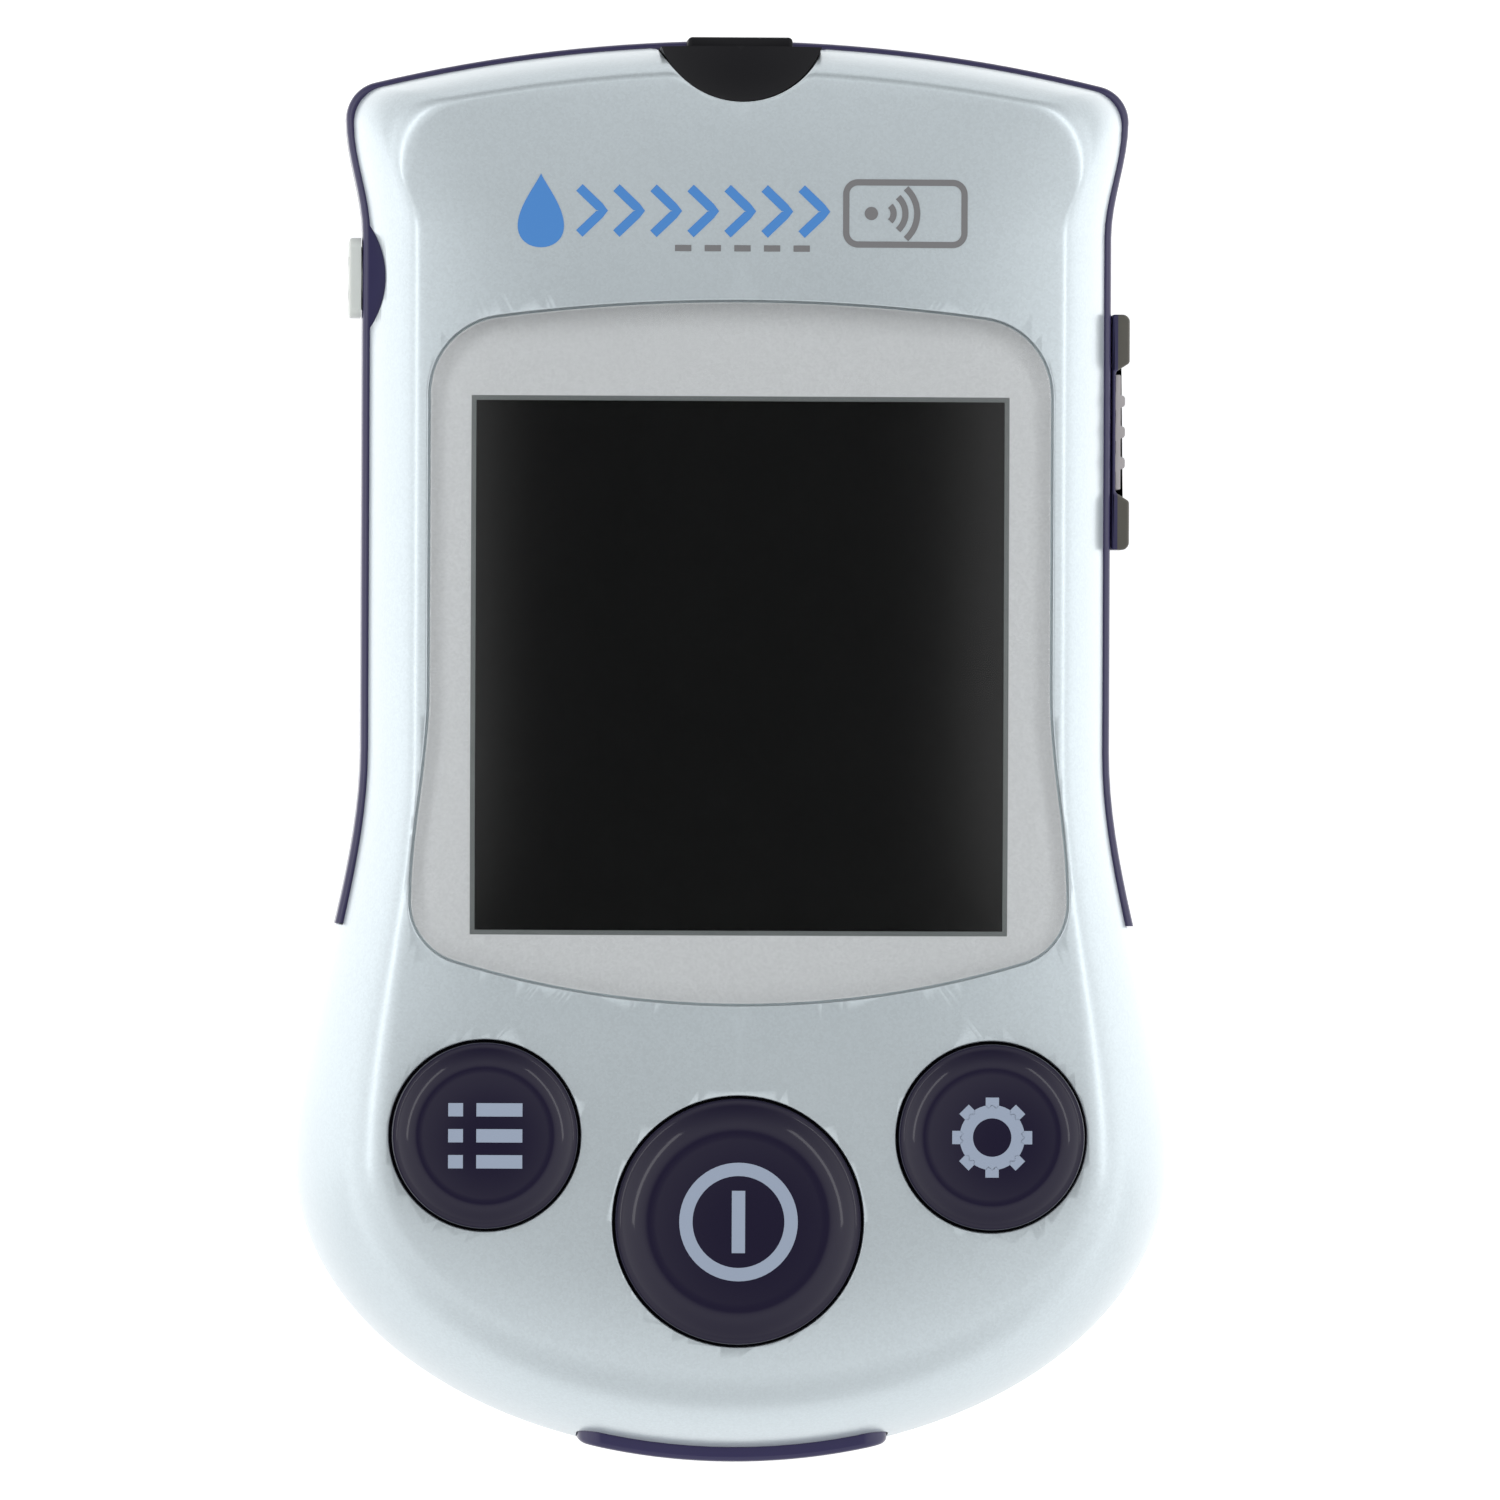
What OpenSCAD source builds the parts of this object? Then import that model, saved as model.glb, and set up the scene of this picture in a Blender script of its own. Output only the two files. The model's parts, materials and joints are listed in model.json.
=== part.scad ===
// Hand-held blood glucose meter, lying on its back.
// +Z points out of the display, +Y towards the test strip slot, +X to the right.
// The origin is the middle of the flat back. Millimetres.

/* [Body outline] */
// Length from the lower end to the crown of the upper end
body_len = 96.5; // [88:0.5:104]
// Width across the hips, the widest place
hip_w = 59.8; // [56:0.2:64]
// Width of the straight waist
waist_w = 50.9; // [50:0.1:53]
// Width across the upper corners
ear_w = 53.2; // [51.6:0.2:55]
// Radius of the bowed upper end
top_arc_r = 104; // [85:1:140]
// Radius of the upper corners
corner_r = 2.5; // [1.5:0.5:4]
// Distance from the lower end to the widest place of the hips
hip_gap = 20.25; // [18:0.25:23]
// Distance from the upper end to the straight waist
waist_gap = 13.25; // [12:0.25:14]
// Lower end of the straight waist, measured from the middle
waist_low_y = 0; // [-4:1:3]

/* [Body section] */
// Height of the parting line between the two housings
parting_z = 10.5; // [10:0.25:11]
// Height of the housing's face at its shoulder
face_z = 23.2; // [23:0.1:25]
// How much the face bulges above its shoulder
face_crown = 1.2; // [0.4:0.1:1.6]
// How far the face's shoulder lies inside the waist outline
shoulder_side = 3.85; // [3:0.25:5]
// How far the shoulder lies inside the upper end
shoulder_top = 2.8; // [2:0.2:4]
// How far the shoulder lies inside the hips
shoulder_hip = 6.1; // [5:0.25:6.5]
// How far the shoulder lies inside the lower end
shoulder_low = 6.5; // [5:0.5:7]
// How far the flat of the back lies inside the side outline
back_side = 4.4; // [3:0.25:5]
// How far the flat of the back lies inside the lower end
back_low = 7; // [5:0.5:8]
// Wall of the upper housing
wall = 1.75; // [1.5:0.05:1.9]
// Floor of the rear housing
floor_t = 1.8; // [1.6:0.1:2]
// Skin under the face
skin = 1.6; // [1.4:0.1:1.8]
// Lip of the rear housing behind the band
lip_t = 1.15; // [0.9:0.05:1.3]

/* [Side band and trim] */
// Height of the dark band
band_h = 5; // [4.6:0.1:5.4]
// Thickness of the band
band_t = 1.6; // [1.4:0.1:1.7]
// Distance from the lower end to the band's two ends
band_gap = 36.35; // [32:0.05:42]
// How far the band and trim stand proud of the housings
band_proud = 0.2; // [0:0.05:0.4]
// Length of the trim at the lower end
trim_len = 21; // [14:0.5:26]
// Height of the trim
trim_h = 7; // [5:0.5:7.4]
// Radius of the trim's corners
trim_corner_r = 1.6; // [1:0.1:2.4]

/* [Display] */
// Width of the window lens at its upper half
lens_w = 42; // [41:0.2:42.6]
// Width of the window lens at its lower corners
lens_low_w = 44.4; // [43:0.2:45]
// Distance from the upper end to the lens, on the centre line
lens_top_gap = 17.95; // [17:0.05:19]
// Distance from the lower end to the lens, on the centre line
lens_low_gap = 31.15; // [30.7:0.05:32.5]
// Radius of the lens's upper edge
lens_top_r = 125; // [100:5:160]
// Radius of the lens's lower edge
lens_low_r = 66; // [55:1:90]
// Radius of the lens's upper corners
lens_corner_r = 5.2; // [3:0.2:7]
// Radius of the lens's lower corners
lens_low_corner_r = 4.2; // [3:0.2:6]
// Thickness of the lens at its rim
lens_t = 1.3; // [1:0.1:1.5]
// Width of the ledge that carries the lens
lens_ledge = 1.6; // [1.2:0.1:2]
// Border of the lens beside the viewing area
border_side = 3.2; // [3:0.1:4.4]
// Border above the viewing area, on the centre line
border_top = 6.65; // [6.2:0.05:8]
// Border below the viewing area, on the centre line
border_low = 4.95; // [4.6:0.05:6.5]
// Thickness of the display glass
lcd_t = 2; // [1.6:0.1:2.2]
// Wall of the display holder
holder_wall = 0.8; // [0.6:0.05:0.85]

/* [Buttons] */
// Diameter of the two side buttons
small_d = 12.55; // [11:0.05:13]
// Diameter of the power button
power_d = 16.6; // [15:0.1:17]
// Sideways place of the side buttons
small_x = 17.1; // [16:0.1:17.2]
// Distance from the lower end to the middle of the side buttons
small_gap = 22.25; // [21:0.05:22.6]
// Distance from the lower end to the middle of the power button
power_gap = 16.5; // [15.8:0.05:17]
// How far the buttons stand above the face
button_rise = 1.2; // [0.8:0.1:1.6]
// Gap round each button
button_gap = 0.2; // [0.1:0.05:0.3]
// Depth of the dish in each button's top
button_dish = 0.3; // [0.1:0.05:0.5]
// Rounding of each button's shoulder
button_round = 0.9; // [0.4:0.1:1]
// Width of the flange that keeps each button in
flange_w = 0.8; // [0.5:0.1:0.9]
// Thickness of the flange
flange_t = 0.9; // [0.7:0.1:1.1]
// Travel of each button
button_travel = 0.7; // [0.4:0.1:0.8]

/* [Circuit board] */
// Height of the board's underside
pcb_z = 14.9; // [14.8:0.05:15.1]
// Thickness of the board
pcb_t = 1.2; // [1:0.1:1.4]
// Gap from the rear housing's lip to the board
pcb_gap = 0.4; // [0.3:0.05:0.6]
// Distance from the upper end to the board
pcb_top_gap = 7.25; // [7:0.05:8]
// Distance from the lower end to the board
pcb_low_gap = 8.25; // [7:0.25:8.5]
// Side of each switch's square body
switch_w = 6; // [5:0.1:6.4]
// Height of each switch's body
switch_h = 2.5; // [2.2:0.1:2.8]
// Radius of each switch's actuator
actuator_r = 1.5; // [1.2:0.05:1.8]

/* [Test strip port] */
// Radius of the thumb scoop in the face
scoop_r = 5.95; // [5.4:0.05:6.4]
// Depth of the scoop on the centre line
scoop_depth = 4.45; // [4:0.05:4.8]
// Width of the port block
port_w = 7.1; // [6.9:0.1:7.6]
// How far the port block stands out of the upper end
port_proud = 0.1; // [0:0.1:0.5]
// Width of the strip slot
slot_w = 6.2; // [5.6:0.1:6.3]
// Height of the strip slot
slot_h = 1; // [0.8:0.1:1.2]
// Height of the strip slot's middle
slot_z = 17.6; // [17.5:0.05:17.8]

/* [Strip ejector] */
// Length of the thumb piece
thumb_len = 16; // [12:0.1:16]
// Distance from the upper end to the thumb piece's lower end
thumb_gap = 34.45; // [34.2:0.05:35.2]
// Height of the thumb piece
thumb_h = 4.2; // [3.6:0.1:4.4]
// How far its end blocks stand out of the band
thumb_rise = 1.3; // [1:0.1:1.6]
// Length of each end block
thumb_end = 3.9; // [2.5:0.1:4]
// Travel of the ejector
eject_travel = 5; // [4:0.5:5]
// Distance from the thumb piece's lower end to its stem
stem_step = 1.1; // [1:0.1:1.6]
// Width of the ejector's stem
stem_len = 6; // [5:0.5:6.5]
// Thickness of the ejector's stem
stem_h = 1.8; // [1.4:0.1:2.2]
// Distance from the thumb piece's lower end to the arm's crosspiece
cross_step = 12.8; // [12.6:0.1:13.2]
// Length of the finger that pushes the strip out
finger_len = 5.6; // [5:0.1:5.8]

/* [Data port] */
// Distance from the upper end to the middle of the data port
jack_gap = 16.2; // [16:0.05:17]
// Radius of the socket's bore
jack_r = 1.27; // [1.2:0.01:1.3]
// Length of the port cover along the side
cover_len = 5.4; // [4.6:0.1:5.6]
// How far the cover stands out of the band
cover_rise = 0.9; // [0.6:0.1:1.2]
// How far the cover pulls out
cover_travel = 4; // [3:0.5:4]

/* [Batteries] */
// Diameter of a cell
cell_d = 10.5; // [10:0.1:10.6]
// Length of a cell with its nub
cell_len = 44.5; // [43:0.1:44.8]
// Length of a contact spring
spring_len = 2.9; // [2.5:0.1:3.2]
// Width of the battery door
door_w = 24; // [23.4:0.1:24.4]
// Upper end of the battery door
door_top_y = 15; // [14.5:0.1:15.5]
// How far the door slides
door_travel = 6; // [5:0.5:6]
// Wall of the battery compartment
comp_wall = 1.2; // [1:0.1:1.4]

/* [Fasteners and fits] */
// Radius of a screw's shank
screw_r = 0.95; // [0.9:0.05:1]
// Radius of a screw's head
screw_head_r = 2; // [1.8:0.1:2.1]
// Sideways place of the upper screws
screw_top_x = 19.3; // [19:0.1:19.4]
// Distance from the upper end to the upper screws
screw_top_gap = 10.75; // [10.2:0.05:11]
// Sideways place of the lower screws
screw_low_x = 17.4; // [17:0.1:18]
// Distance from the lower end to the lower screws
screw_low_gap = 12.45; // [12.2:0.05:12.6]
// Gap between pieces that are fixed beside each other
fit_gap = 0.1; // [0.05:0.01:0.15]
// Gap beside pieces that slide
slide_gap = 0.15; // [0.1:0.01:0.2]

/* [Hidden] */
$fn = 48;
over = 1;                                   // how far a cutting tool runs past a face

// ---- places along the body, each kept at its distance from the nearer end ----
top_y = body_len / 2;
low_y = -body_len / 2;
hip_y = low_y + hip_gap;
waist_top_y = top_y - waist_gap;
band_end_y = low_y + band_gap;
lens_top_y = top_y - lens_top_gap;
lens_low_y = low_y + lens_low_gap;
small_y = low_y + small_gap;
power_y = low_y + power_gap;
pcb_top_y = top_y - pcb_top_gap;
pcb_low_y = low_y + pcb_low_gap;
thumb_y = top_y - thumb_gap;
jack_y = top_y - jack_gap;
screw_top_y = top_y - screw_top_gap;
screw_low_y = low_y + screw_low_gap;
view_top_y = lens_top_y - border_top;
view_low_y = lens_low_y + border_low;
view_y = (view_top_y + view_low_y) / 2;
view_w = lens_w - 2 * border_side;
view_h = view_top_y - view_low_y;

// ---- outlines ------------------------------------------------------------
// An outline is [upper end, end radius, corner radius, ear, waist and hip half widths, lower end].
side_form = [top_y, top_arc_r, corner_r, ear_w / 2, waist_w / 2, hip_w / 2, low_y];
face_form = [
    top_y - shoulder_top, top_arc_r - shoulder_top, corner_r + 2.5,
    ear_w / 2 - shoulder_side, waist_w / 2 - shoulder_side, hip_w / 2 - shoulder_hip,
    low_y + shoulder_low
];
back_form = [
    top_y - back_side, top_arc_r - back_side, corner_r + 2.5,
    ear_w / 2 - back_side, waist_w / 2 - back_side, hip_w / 2 - back_side - 1.6,
    low_y + back_low
];
// The ceiling under the face keeps an even skin: it is drawn in where the flank is steep.
ceiling_form = [
    face_form[0] - 0.7 * wall, face_form[1] - 0.7 * wall, face_form[2],
    face_form[3] - 0.6 * wall, face_form[4] - 0.2 * wall, face_form[5] + 0.35 * wall,
    face_form[6] - 0.35 * wall
];

function inset(f, d) =
    [f[0] - d, f[1] - d, max(f[2] - d, 0.6), f[3] - d, f[4] - d, f[5] - d, f[6] + d];
function ease(t) = t * t * (3 - 2 * t);
function arc_points(cx, cy, r, from, to, n) =
    [for (i = [0:n]) let (a = from + (to - from) * i / n) [cx + r * cos(a), cy + r * sin(a)]];
function corner_y(top, arc_r, r, half) =
    top - arc_r + sqrt(pow(arc_r - r, 2) - pow(half - r, 2));
// From the crown of a bowed end round its corner to the side.
function end_points(top, arc_r, r, half, n_arc, n_corner) =
    let (tilt = asin((half - r) / (arc_r - r)))
    concat(
        arc_points(0, top - arc_r, arc_r, 90, 90 - tilt, n_arc),
        [for (p = arc_points(half - r, corner_y(top, arc_r, r, half), r, 90 - tilt, 0, n_corner))
            if (p[1] < top - arc_r + arc_r * cos(tilt) - 0.001) p]
    );
// An easy curve down a side, without its first point.
function side_points(x0, y0, x1, y1, n) =
    [for (i = [1:n]) let (t = i / n) [x0 + (x1 - x0) * ease(t), y0 + (y1 - y0) * t]];
function mirrored(half) = concat(
    [for (i = [len(half) - 1:-1:0]) half[i]],
    [for (i = [1:len(half) - 2]) [-half[i][0], half[i][1]]]
);
function body_outline(f) =
    let (ear_y = corner_y(f[0], f[1], f[2], f[3]))
    mirrored(concat(
        end_points(f[0], f[1], f[2], f[3], 7, 6),
        side_points(f[3], ear_y, f[4], waist_top_y, 4),
        [[f[4], waist_low_y]],
        side_points(f[4], waist_low_y, f[5], hip_y, 9),
        [for (i = [1:12]) let (a = 90 * i / 12)
            [i == 12 ? 0 : f[5] * cos(a), hip_y + (f[6] - hip_y) * sin(a)]]
    ));
function lens_outline(d) =
    let (
        upper = end_points(lens_top_y - d, lens_top_r - d, lens_corner_r - d, lens_w / 2 - d, 6, 6),
        lower = end_points(-lens_low_y - d, lens_low_r - d, lens_low_corner_r - d,
            lens_low_w / 2 - d, 6, 6),
        last = len(lower) - 1
    )
    mirrored(concat(
        upper,
        [[lens_w / 2 - d, waist_low_y + 4]],
        side_points(lens_w / 2 - d, waist_low_y + 4, lens_low_w / 2 - d, -lower[last][1], 6),
        [for (i = [last - 1:-1:0]) [lower[i][0], -lower[i][1]]]
    ));

// ---- lofts ---------------------------------------------------------------
function at_height(outline, z) = [for (p = outline) [p[0], p[1], z]];
function blend(a, b, t) = [for (i = [0:len(a) - 1]) a[i] + (b[i] - a[i]) * t];
// A closed solid through rings that have the same number of points.
module loft(rings) {
    n = len(rings[0]);
    last = (len(rings) - 1) * n;
    polyhedron(
        points = [for (ring = rings) each ring],
        faces = concat(
            [[for (i = [0:n - 1]) i]],
            [[for (i = [n - 1:-1:0]) last + i]],
            [for (k = [0:len(rings) - 2]) for (i = [0:n - 1]) for (half = [0:1])
                let (a = k * n + i, b = k * n + (i + 1) % n)
                half == 0 ? [a, a + n, b + n] : [a, b + n, b]]
        )
    );
}
// A rounded flank from a wide outline to the shoulder of a flat one.
flank_end = 86;
function flank(wide, narrow, z_wide, z_narrow, steps) =
    [for (k = [0:steps]) let (
        a = flank_end * k / steps,
        t = (1 - cos(a)) / (1 - cos(flank_end)),
        h = pow(sin(a) / sin(flank_end), 1.18)
    ) at_height(blend(wide, narrow, t), z_wide + (z_narrow - z_wide) * h)];
// The bulge of the face above its shoulder.
crown_mid = [0, hip_y / 2 + body_len / 6];
crown_end = 0.4;
crown_power = 4;
function crown(shoulder, z) =
    [for (s = [0.88, 0.68, crown_end])
        [for (p = shoulder) [
            crown_mid[0] + (p[0] - crown_mid[0]) * s,
            crown_mid[1] + (p[1] - crown_mid[1]) * s,
            z + face_crown * (1 - pow(s, crown_power))
        ]]];
module plate(outline, z0, z1) {
    translate([0, 0, z0]) linear_extrude(z1 - z0) polygon(outline);
}
module box(low, high) {
    translate(low) cube(high - low);
}
module rod(x, y, r, z0, z1) {
    translate([x, y, z0]) cylinder(r = r, h = z1 - z0);
}

side_line = body_outline(inset(side_form, band_proud));
band_line = body_outline(side_form);
face_line = body_outline(face_form);
back_line = body_outline(back_form);
lip_outer = band_proud + wall + fit_gap;
lip_inner = lip_outer + lip_t;

// A loft that runs on past its end rings and is cut flat at both ends.
module flat_loft(rings, z0, z1) {
    last = rings[len(rings) - 1];
    intersection() {
        loft(concat(
            [[for (p = rings[0]) [p[0], p[1], z0 - over]]],
            rings,
            [[for (p = last) [p[0], p[1], z1 + over]]]
        ));
        box([-body_len, -body_len, z0], [body_len, body_len, z1]);
    }
}
function reversed(rings) = [for (k = [len(rings) - 1:-1:0]) rings[k]];

module upper_form() {
    flat_loft(
        concat(
            flank(side_line, face_line, parting_z, face_z, 10),
            crown(face_line, face_z)
        ),
        parting_z, face_z + face_crown * (1 - pow(crown_end, crown_power))
    );
}
module upper_hollow() {
    wide = body_outline(inset(side_form, band_proud + wall));
    flat_loft(
        flank(wide, body_outline(ceiling_form), band_top, face_z - skin, 6),
        parting_z - over, face_z - skin
    );
}
module lower_form() {
    flat_loft(reversed(flank(side_line, back_line, parting_z, 0, 7)), 0, parting_z);
}
module lower_hollow() {
    wide = body_outline(inset(side_form, lip_inner));
    narrow = body_outline(inset(back_form, wall * 0.6));
    flat_loft(
        reversed(flank(wide, narrow, parting_z - 1, floor_t, 5)),
        floor_t, parting_z + over
    );
}

// ---- places worked out from the sizes ------------------------------------
band_top = parting_z + band_h;
band_mid = parting_z + band_h / 2;
pcb_top = pcb_z + pcb_t;
ceiling_z = face_z - skin;
lens_z = face_z - lens_t;
ledge_z = lens_z - 1;
mask_t = 0.15;
lcd_top = lens_z - mask_t - 0.05;
lcd_z = lcd_top - lcd_t;
lcd_half_w = view_w / 2 + 0.5;
lcd_half_h = view_h / 2 + 0.5;
backlight_t = 1;
backlight_z = lcd_z - backlight_t;
holder_half_w = lcd_half_w + fit_gap + holder_wall;
holder_half_h = lcd_half_h + fit_gap + holder_wall;
zebra_w = 1.3;
flange_top = ceiling_z - fit_gap;
flange_z = flange_top - flange_t;
actuator_top = pcb_top + switch_h + button_travel + 0.1;
actuator_foot = pcb_top + switch_h - 0.8;
wall_x = door_w / 2 + slide_gap;             // inner face of the compartment's side walls
wall_out_x = wall_x + comp_wall;
comp_top_y = door_top_y + slide_gap;
plate_t = 0.4;
comp_low_y = comp_top_y - 2 * plate_t - spring_len - cell_len - 2 * fit_gap;
cell_x = wall_x / 2;
cell_z = floor_t + 0.35 + cell_d / 2;
comp_ceiling = cell_z + cell_d / 2 + 0.3;
comp_roof = comp_ceiling + comp_wall;
screw_spots = [
    [-screw_top_x, screw_top_y], [screw_top_x, screw_top_y],
    [-screw_low_x, screw_low_y], [screw_low_x, screw_low_y]
];
boss_r = 2.6;
upper_boss_r = boss_r - 0.35;
screw_hole_r = screw_r + 0.2;
screw_seat_z = 5;
screw_head_h = 1.5;
screw_tip_z = pcb_top + 4.2;
buttons = [
    [-small_x, small_y, small_d / 2], [0, power_y, power_d / 2], [small_x, small_y, small_d / 2]
];
side_x = waist_w / 2;
thumb_x = side_x + fit_gap;
stem_y = thumb_y + stem_step;
arm_out_x = side_x - lip_inner - 1.1;        // outer face of the ejector's arm
arm_t = 1.7;
arm_in_x = arm_out_x - arm_t;
arm_z = slot_z - 1.1;
arm_h = 1.5;
cross_y = thumb_y + cross_step;
cross_w = 2.2;
finger_tip_y = cross_y + cross_w + finger_len;
connector_gap = 0.4;                         // left behind the crosspiece at the end of its travel
connector_y = cross_y + cross_w + eject_travel + connector_gap;
connector_end_y = pcb_top_y;
jack_half = 2.6;
jack_drop = 2.1;
jack_z = pcb_z - jack_drop;
scoop_y = top_y - scoop_depth + scoop_r;

// ---- housings ------------------------------------------------------------
module round_holes(gap, z0, z1) {
    for (b = buttons) rod(b[0], b[1], b[2] + gap, z0, z1);
}
// The round-cornered place of the trim in the lower end.
module trim_place(gap) {
    translate([0, low_y - 2, band_mid]) rotate([-90, 0, 0]) linear_extrude(12)
        offset(r = trim_corner_r + gap)
            square([trim_len - 2 * trim_corner_r, trim_h - 2 * trim_corner_r], center = true);
}
module stem_slot(gap) {
    box([side_x - lip_inner - over, stem_y - gap, band_mid - stem_h / 2 - gap],
        [side_x + over, stem_y + stem_len + eject_travel + gap, band_mid + stem_h / 2 + gap]);
}
module cover_hole(gap) {
    translate([-side_x - over, jack_y, jack_z]) rotate([0, 90, 0])
        cylinder(r = cover_len / 2 - 0.55 + gap, h = lip_inner + 2 * over);
}
module upper_inner_parts() {
    difference() {
        plate(lens_outline(-1), ledge_z, ceiling_z + 0.3);
        plate(lens_outline(lens_ledge), ledge_z - over, ceiling_z + over);
    }
    for (p = screw_spots) rod(p[0], p[1], upper_boss_r, pcb_top, ceiling_z + 0.3);
}
module top_housing() {
    color([0.74, 0.78, 0.8]) difference() {
        union() {
            difference() {
                upper_form();
                upper_hollow();
            }
            upper_inner_parts();
        }
        // Room for the band round the upper end and sides.
        box([-body_len, band_end_y, parting_z - over], [body_len, body_len, band_top + fit_gap]);
        plate(lens_outline(-fit_gap), lens_z, face_z + 3);
        plate(lens_outline(lens_ledge), ledge_z - over, lens_z + over);
        round_holes(button_gap, ledge_z - 2, face_z + 3);
        for (p = screw_spots) rod(p[0], p[1], screw_r + 0.03, pcb_top - over, screw_tip_z + 0.5);
        // Thumb scoop, and the finger scallop beside the data port.
        rod(0, scoop_y, scoop_r, parting_z, face_z + 3);
        rod(-side_x - scallop_r + 1.55, jack_y, scallop_r, parting_z, face_z + 3);
        trim_place(fit_gap);
    }
}
scallop_r = 6.2;
module rear_ribs() {
    // Lip that the band and the upper housing close over.
    difference() {
        plate(body_outline(inset(side_form, lip_outer)), parting_z - 1, band_top - 0.3);
        plate(body_outline(inset(side_form, lip_inner)), parting_z - 2, band_top + over);
    }
    for (p = screw_spots) rod(p[0], p[1], boss_r, floor_t - 0.3, pcb_z);
    // Battery compartment.
    difference() {
        box([-wall_out_x, comp_low_y - comp_wall, 0.6],
            [wall_out_x, comp_top_y + comp_wall, comp_roof]);
        box([-wall_x, comp_low_y, 0], [wall_x, comp_top_y, comp_ceiling]);
    }
    box([-0.4, comp_low_y + spring_len + 6, comp_ceiling - 2.2],
        [0.4, comp_top_y - spring_len - 6, comp_ceiling + 0.2]);
    // Ledge over the door's lower end.
    box([-wall_out_x, back_line[0][1] - 4, floor_t + slide_gap],
        [wall_out_x, comp_low_y, floor_t + 1.4]);
    // Rests for the board on the compartment's roof.
    for (x = [-8, 8]) for (y = [comp_low_y + 6, comp_top_y - 6])
        rod(x, y, 1.2, comp_roof - 0.2, pcb_z);
    // Post that holds the ejector's spring.
    box([arm_in_x, spring_post_y - 1.2, band_mid], [side_x - lip_inner + 0.2, spring_post_y, slot_z + 0.6]);
}
spring_post_y = stem_y - 9.5;
tongue_len = 5;
tongue_w = 0.9;
tongue_h = 0.8;
tongue_ys = [comp_low_y + 10, comp_top_y - tongue_len - 4];
module rear_housing() {
    color([0.72, 0.75, 0.78]) difference() {
        union() {
            difference() {
                lower_form();
                lower_hollow();
            }
            intersection() {
                union() {
                    lower_form();
                    plate(side_line, parting_z - 0.1, slot_z + 2);
                }
                rear_ribs();
            }
        }
        // The door's opening, which runs out at the lower end.
        box([-wall_x, -body_len, -over], [wall_x, comp_top_y, floor_t + slide_gap]);
        box([-wall_x, comp_low_y, -over], [wall_x, comp_top_y, floor_t + 2]);
        for (s = [-1, 1]) for (y = tongue_ys)
            box([min(s * (wall_x - 0.2), s * (wall_x + tongue_w + slide_gap)),
                    y - door_travel - slide_gap, floor_t - slide_gap],
                [max(s * (wall_x - 0.2), s * (wall_x + tongue_w + slide_gap)),
                    y + tongue_len + slide_gap, floor_t + tongue_h + slide_gap]);
        box([-4 - slide_gap, comp_top_y - over, floor_t - slide_gap],
            [4 + slide_gap, comp_top_y + comp_wall + over, floor_t + tongue_h + slide_gap]);
        for (p = screw_spots) {
            rod(p[0], p[1], screw_head_r + 0.15, -over, screw_seat_z);
            rod(p[0], p[1], screw_hole_r, 0, pcb_z + over);
        }
        stem_slot(slide_gap);
        cover_hole(slide_gap);
        trim_place(fit_gap);
    }
}
module side_band() {
    color([0.12, 0.11, 0.24]) difference() {
        plate(band_line, parting_z + fit_gap / 2, band_top);
        plate(body_outline(inset(side_form, band_t)), parting_z - over, band_top + over);
        box([-body_len, -body_len, parting_z - over], [body_len, band_end_y + fit_gap, band_top + over]);
        stem_slot(slide_gap);
        cover_hole(slide_gap);
    }
}
module bottom_trim() {
    color([0.12, 0.11, 0.24]) intersection() {
        difference() {
            plate(band_line, band_mid - trim_h, band_mid + trim_h);
            plate(body_outline(inset(side_form, band_t)), 0, face_z);
        }
        trim_place(0);
    }
}

// ---- display -------------------------------------------------------------
module display_lens() {
    color([0.7, 0.75, 0.78, 0.5]) intersection() {
        upper_form();
        plate(lens_outline(fit_gap / 2), lens_z, face_z + 3);
    }
}
module display_mask() {
    color([0.76, 0.78, 0.8]) difference() {
        plate(lens_outline(lens_ledge + fit_gap), lens_z - mask_t, lens_z);
        box([-view_w / 2, view_y - view_h / 2, ledge_z], [view_w / 2, view_y + view_h / 2, face_z]);
    }
}
module lcd_glass() {
    color([0.07, 0.07, 0.07])
        box([-lcd_half_w, view_y - lcd_half_h, lcd_z], [lcd_half_w, view_y + lcd_half_h, lcd_top]);
}
module backlight() {
    color([0.9, 0.9, 0.86]) box([-lcd_half_w, view_y - lcd_half_h, backlight_z],
        [lcd_half_w, view_y + lcd_half_h, lcd_z]);
}
module lcd_holder() {
    low = view_y - holder_half_h;
    high = view_y + holder_half_h;
    color([0.88, 0.88, 0.85]) difference() {
        box([-holder_half_w, low, pcb_top], [holder_half_w, high, ledge_z - 0.05]);
        box([-lcd_half_w - fit_gap, view_y - lcd_half_h - fit_gap, backlight_z],
            [lcd_half_w + fit_gap, view_y + lcd_half_h + fit_gap, face_z]);
        box([-lcd_half_w + 1, view_y - lcd_half_h + zebra_w + 1, pcb_top - over],
            [lcd_half_w - 1, view_y + lcd_half_h - 1, face_z]);
        // Pocket of the contact strip.
        box([-zebra_half, low - over, pcb_top - over],
            [zebra_half, low + holder_wall + zebra_w + fit_gap, lcd_z]);
    }
}
zebra_half = lcd_half_w - 2;
module zebra_connector() {
    y = view_y - holder_half_h + holder_wall;
    color([0.85, 0.45, 0.5]) box([-zebra_half + fit_gap, y - holder_wall, pcb_top],
        [zebra_half - fit_gap, y - holder_wall + zebra_w - 0.5, lcd_z - 0.05]);
}

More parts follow.
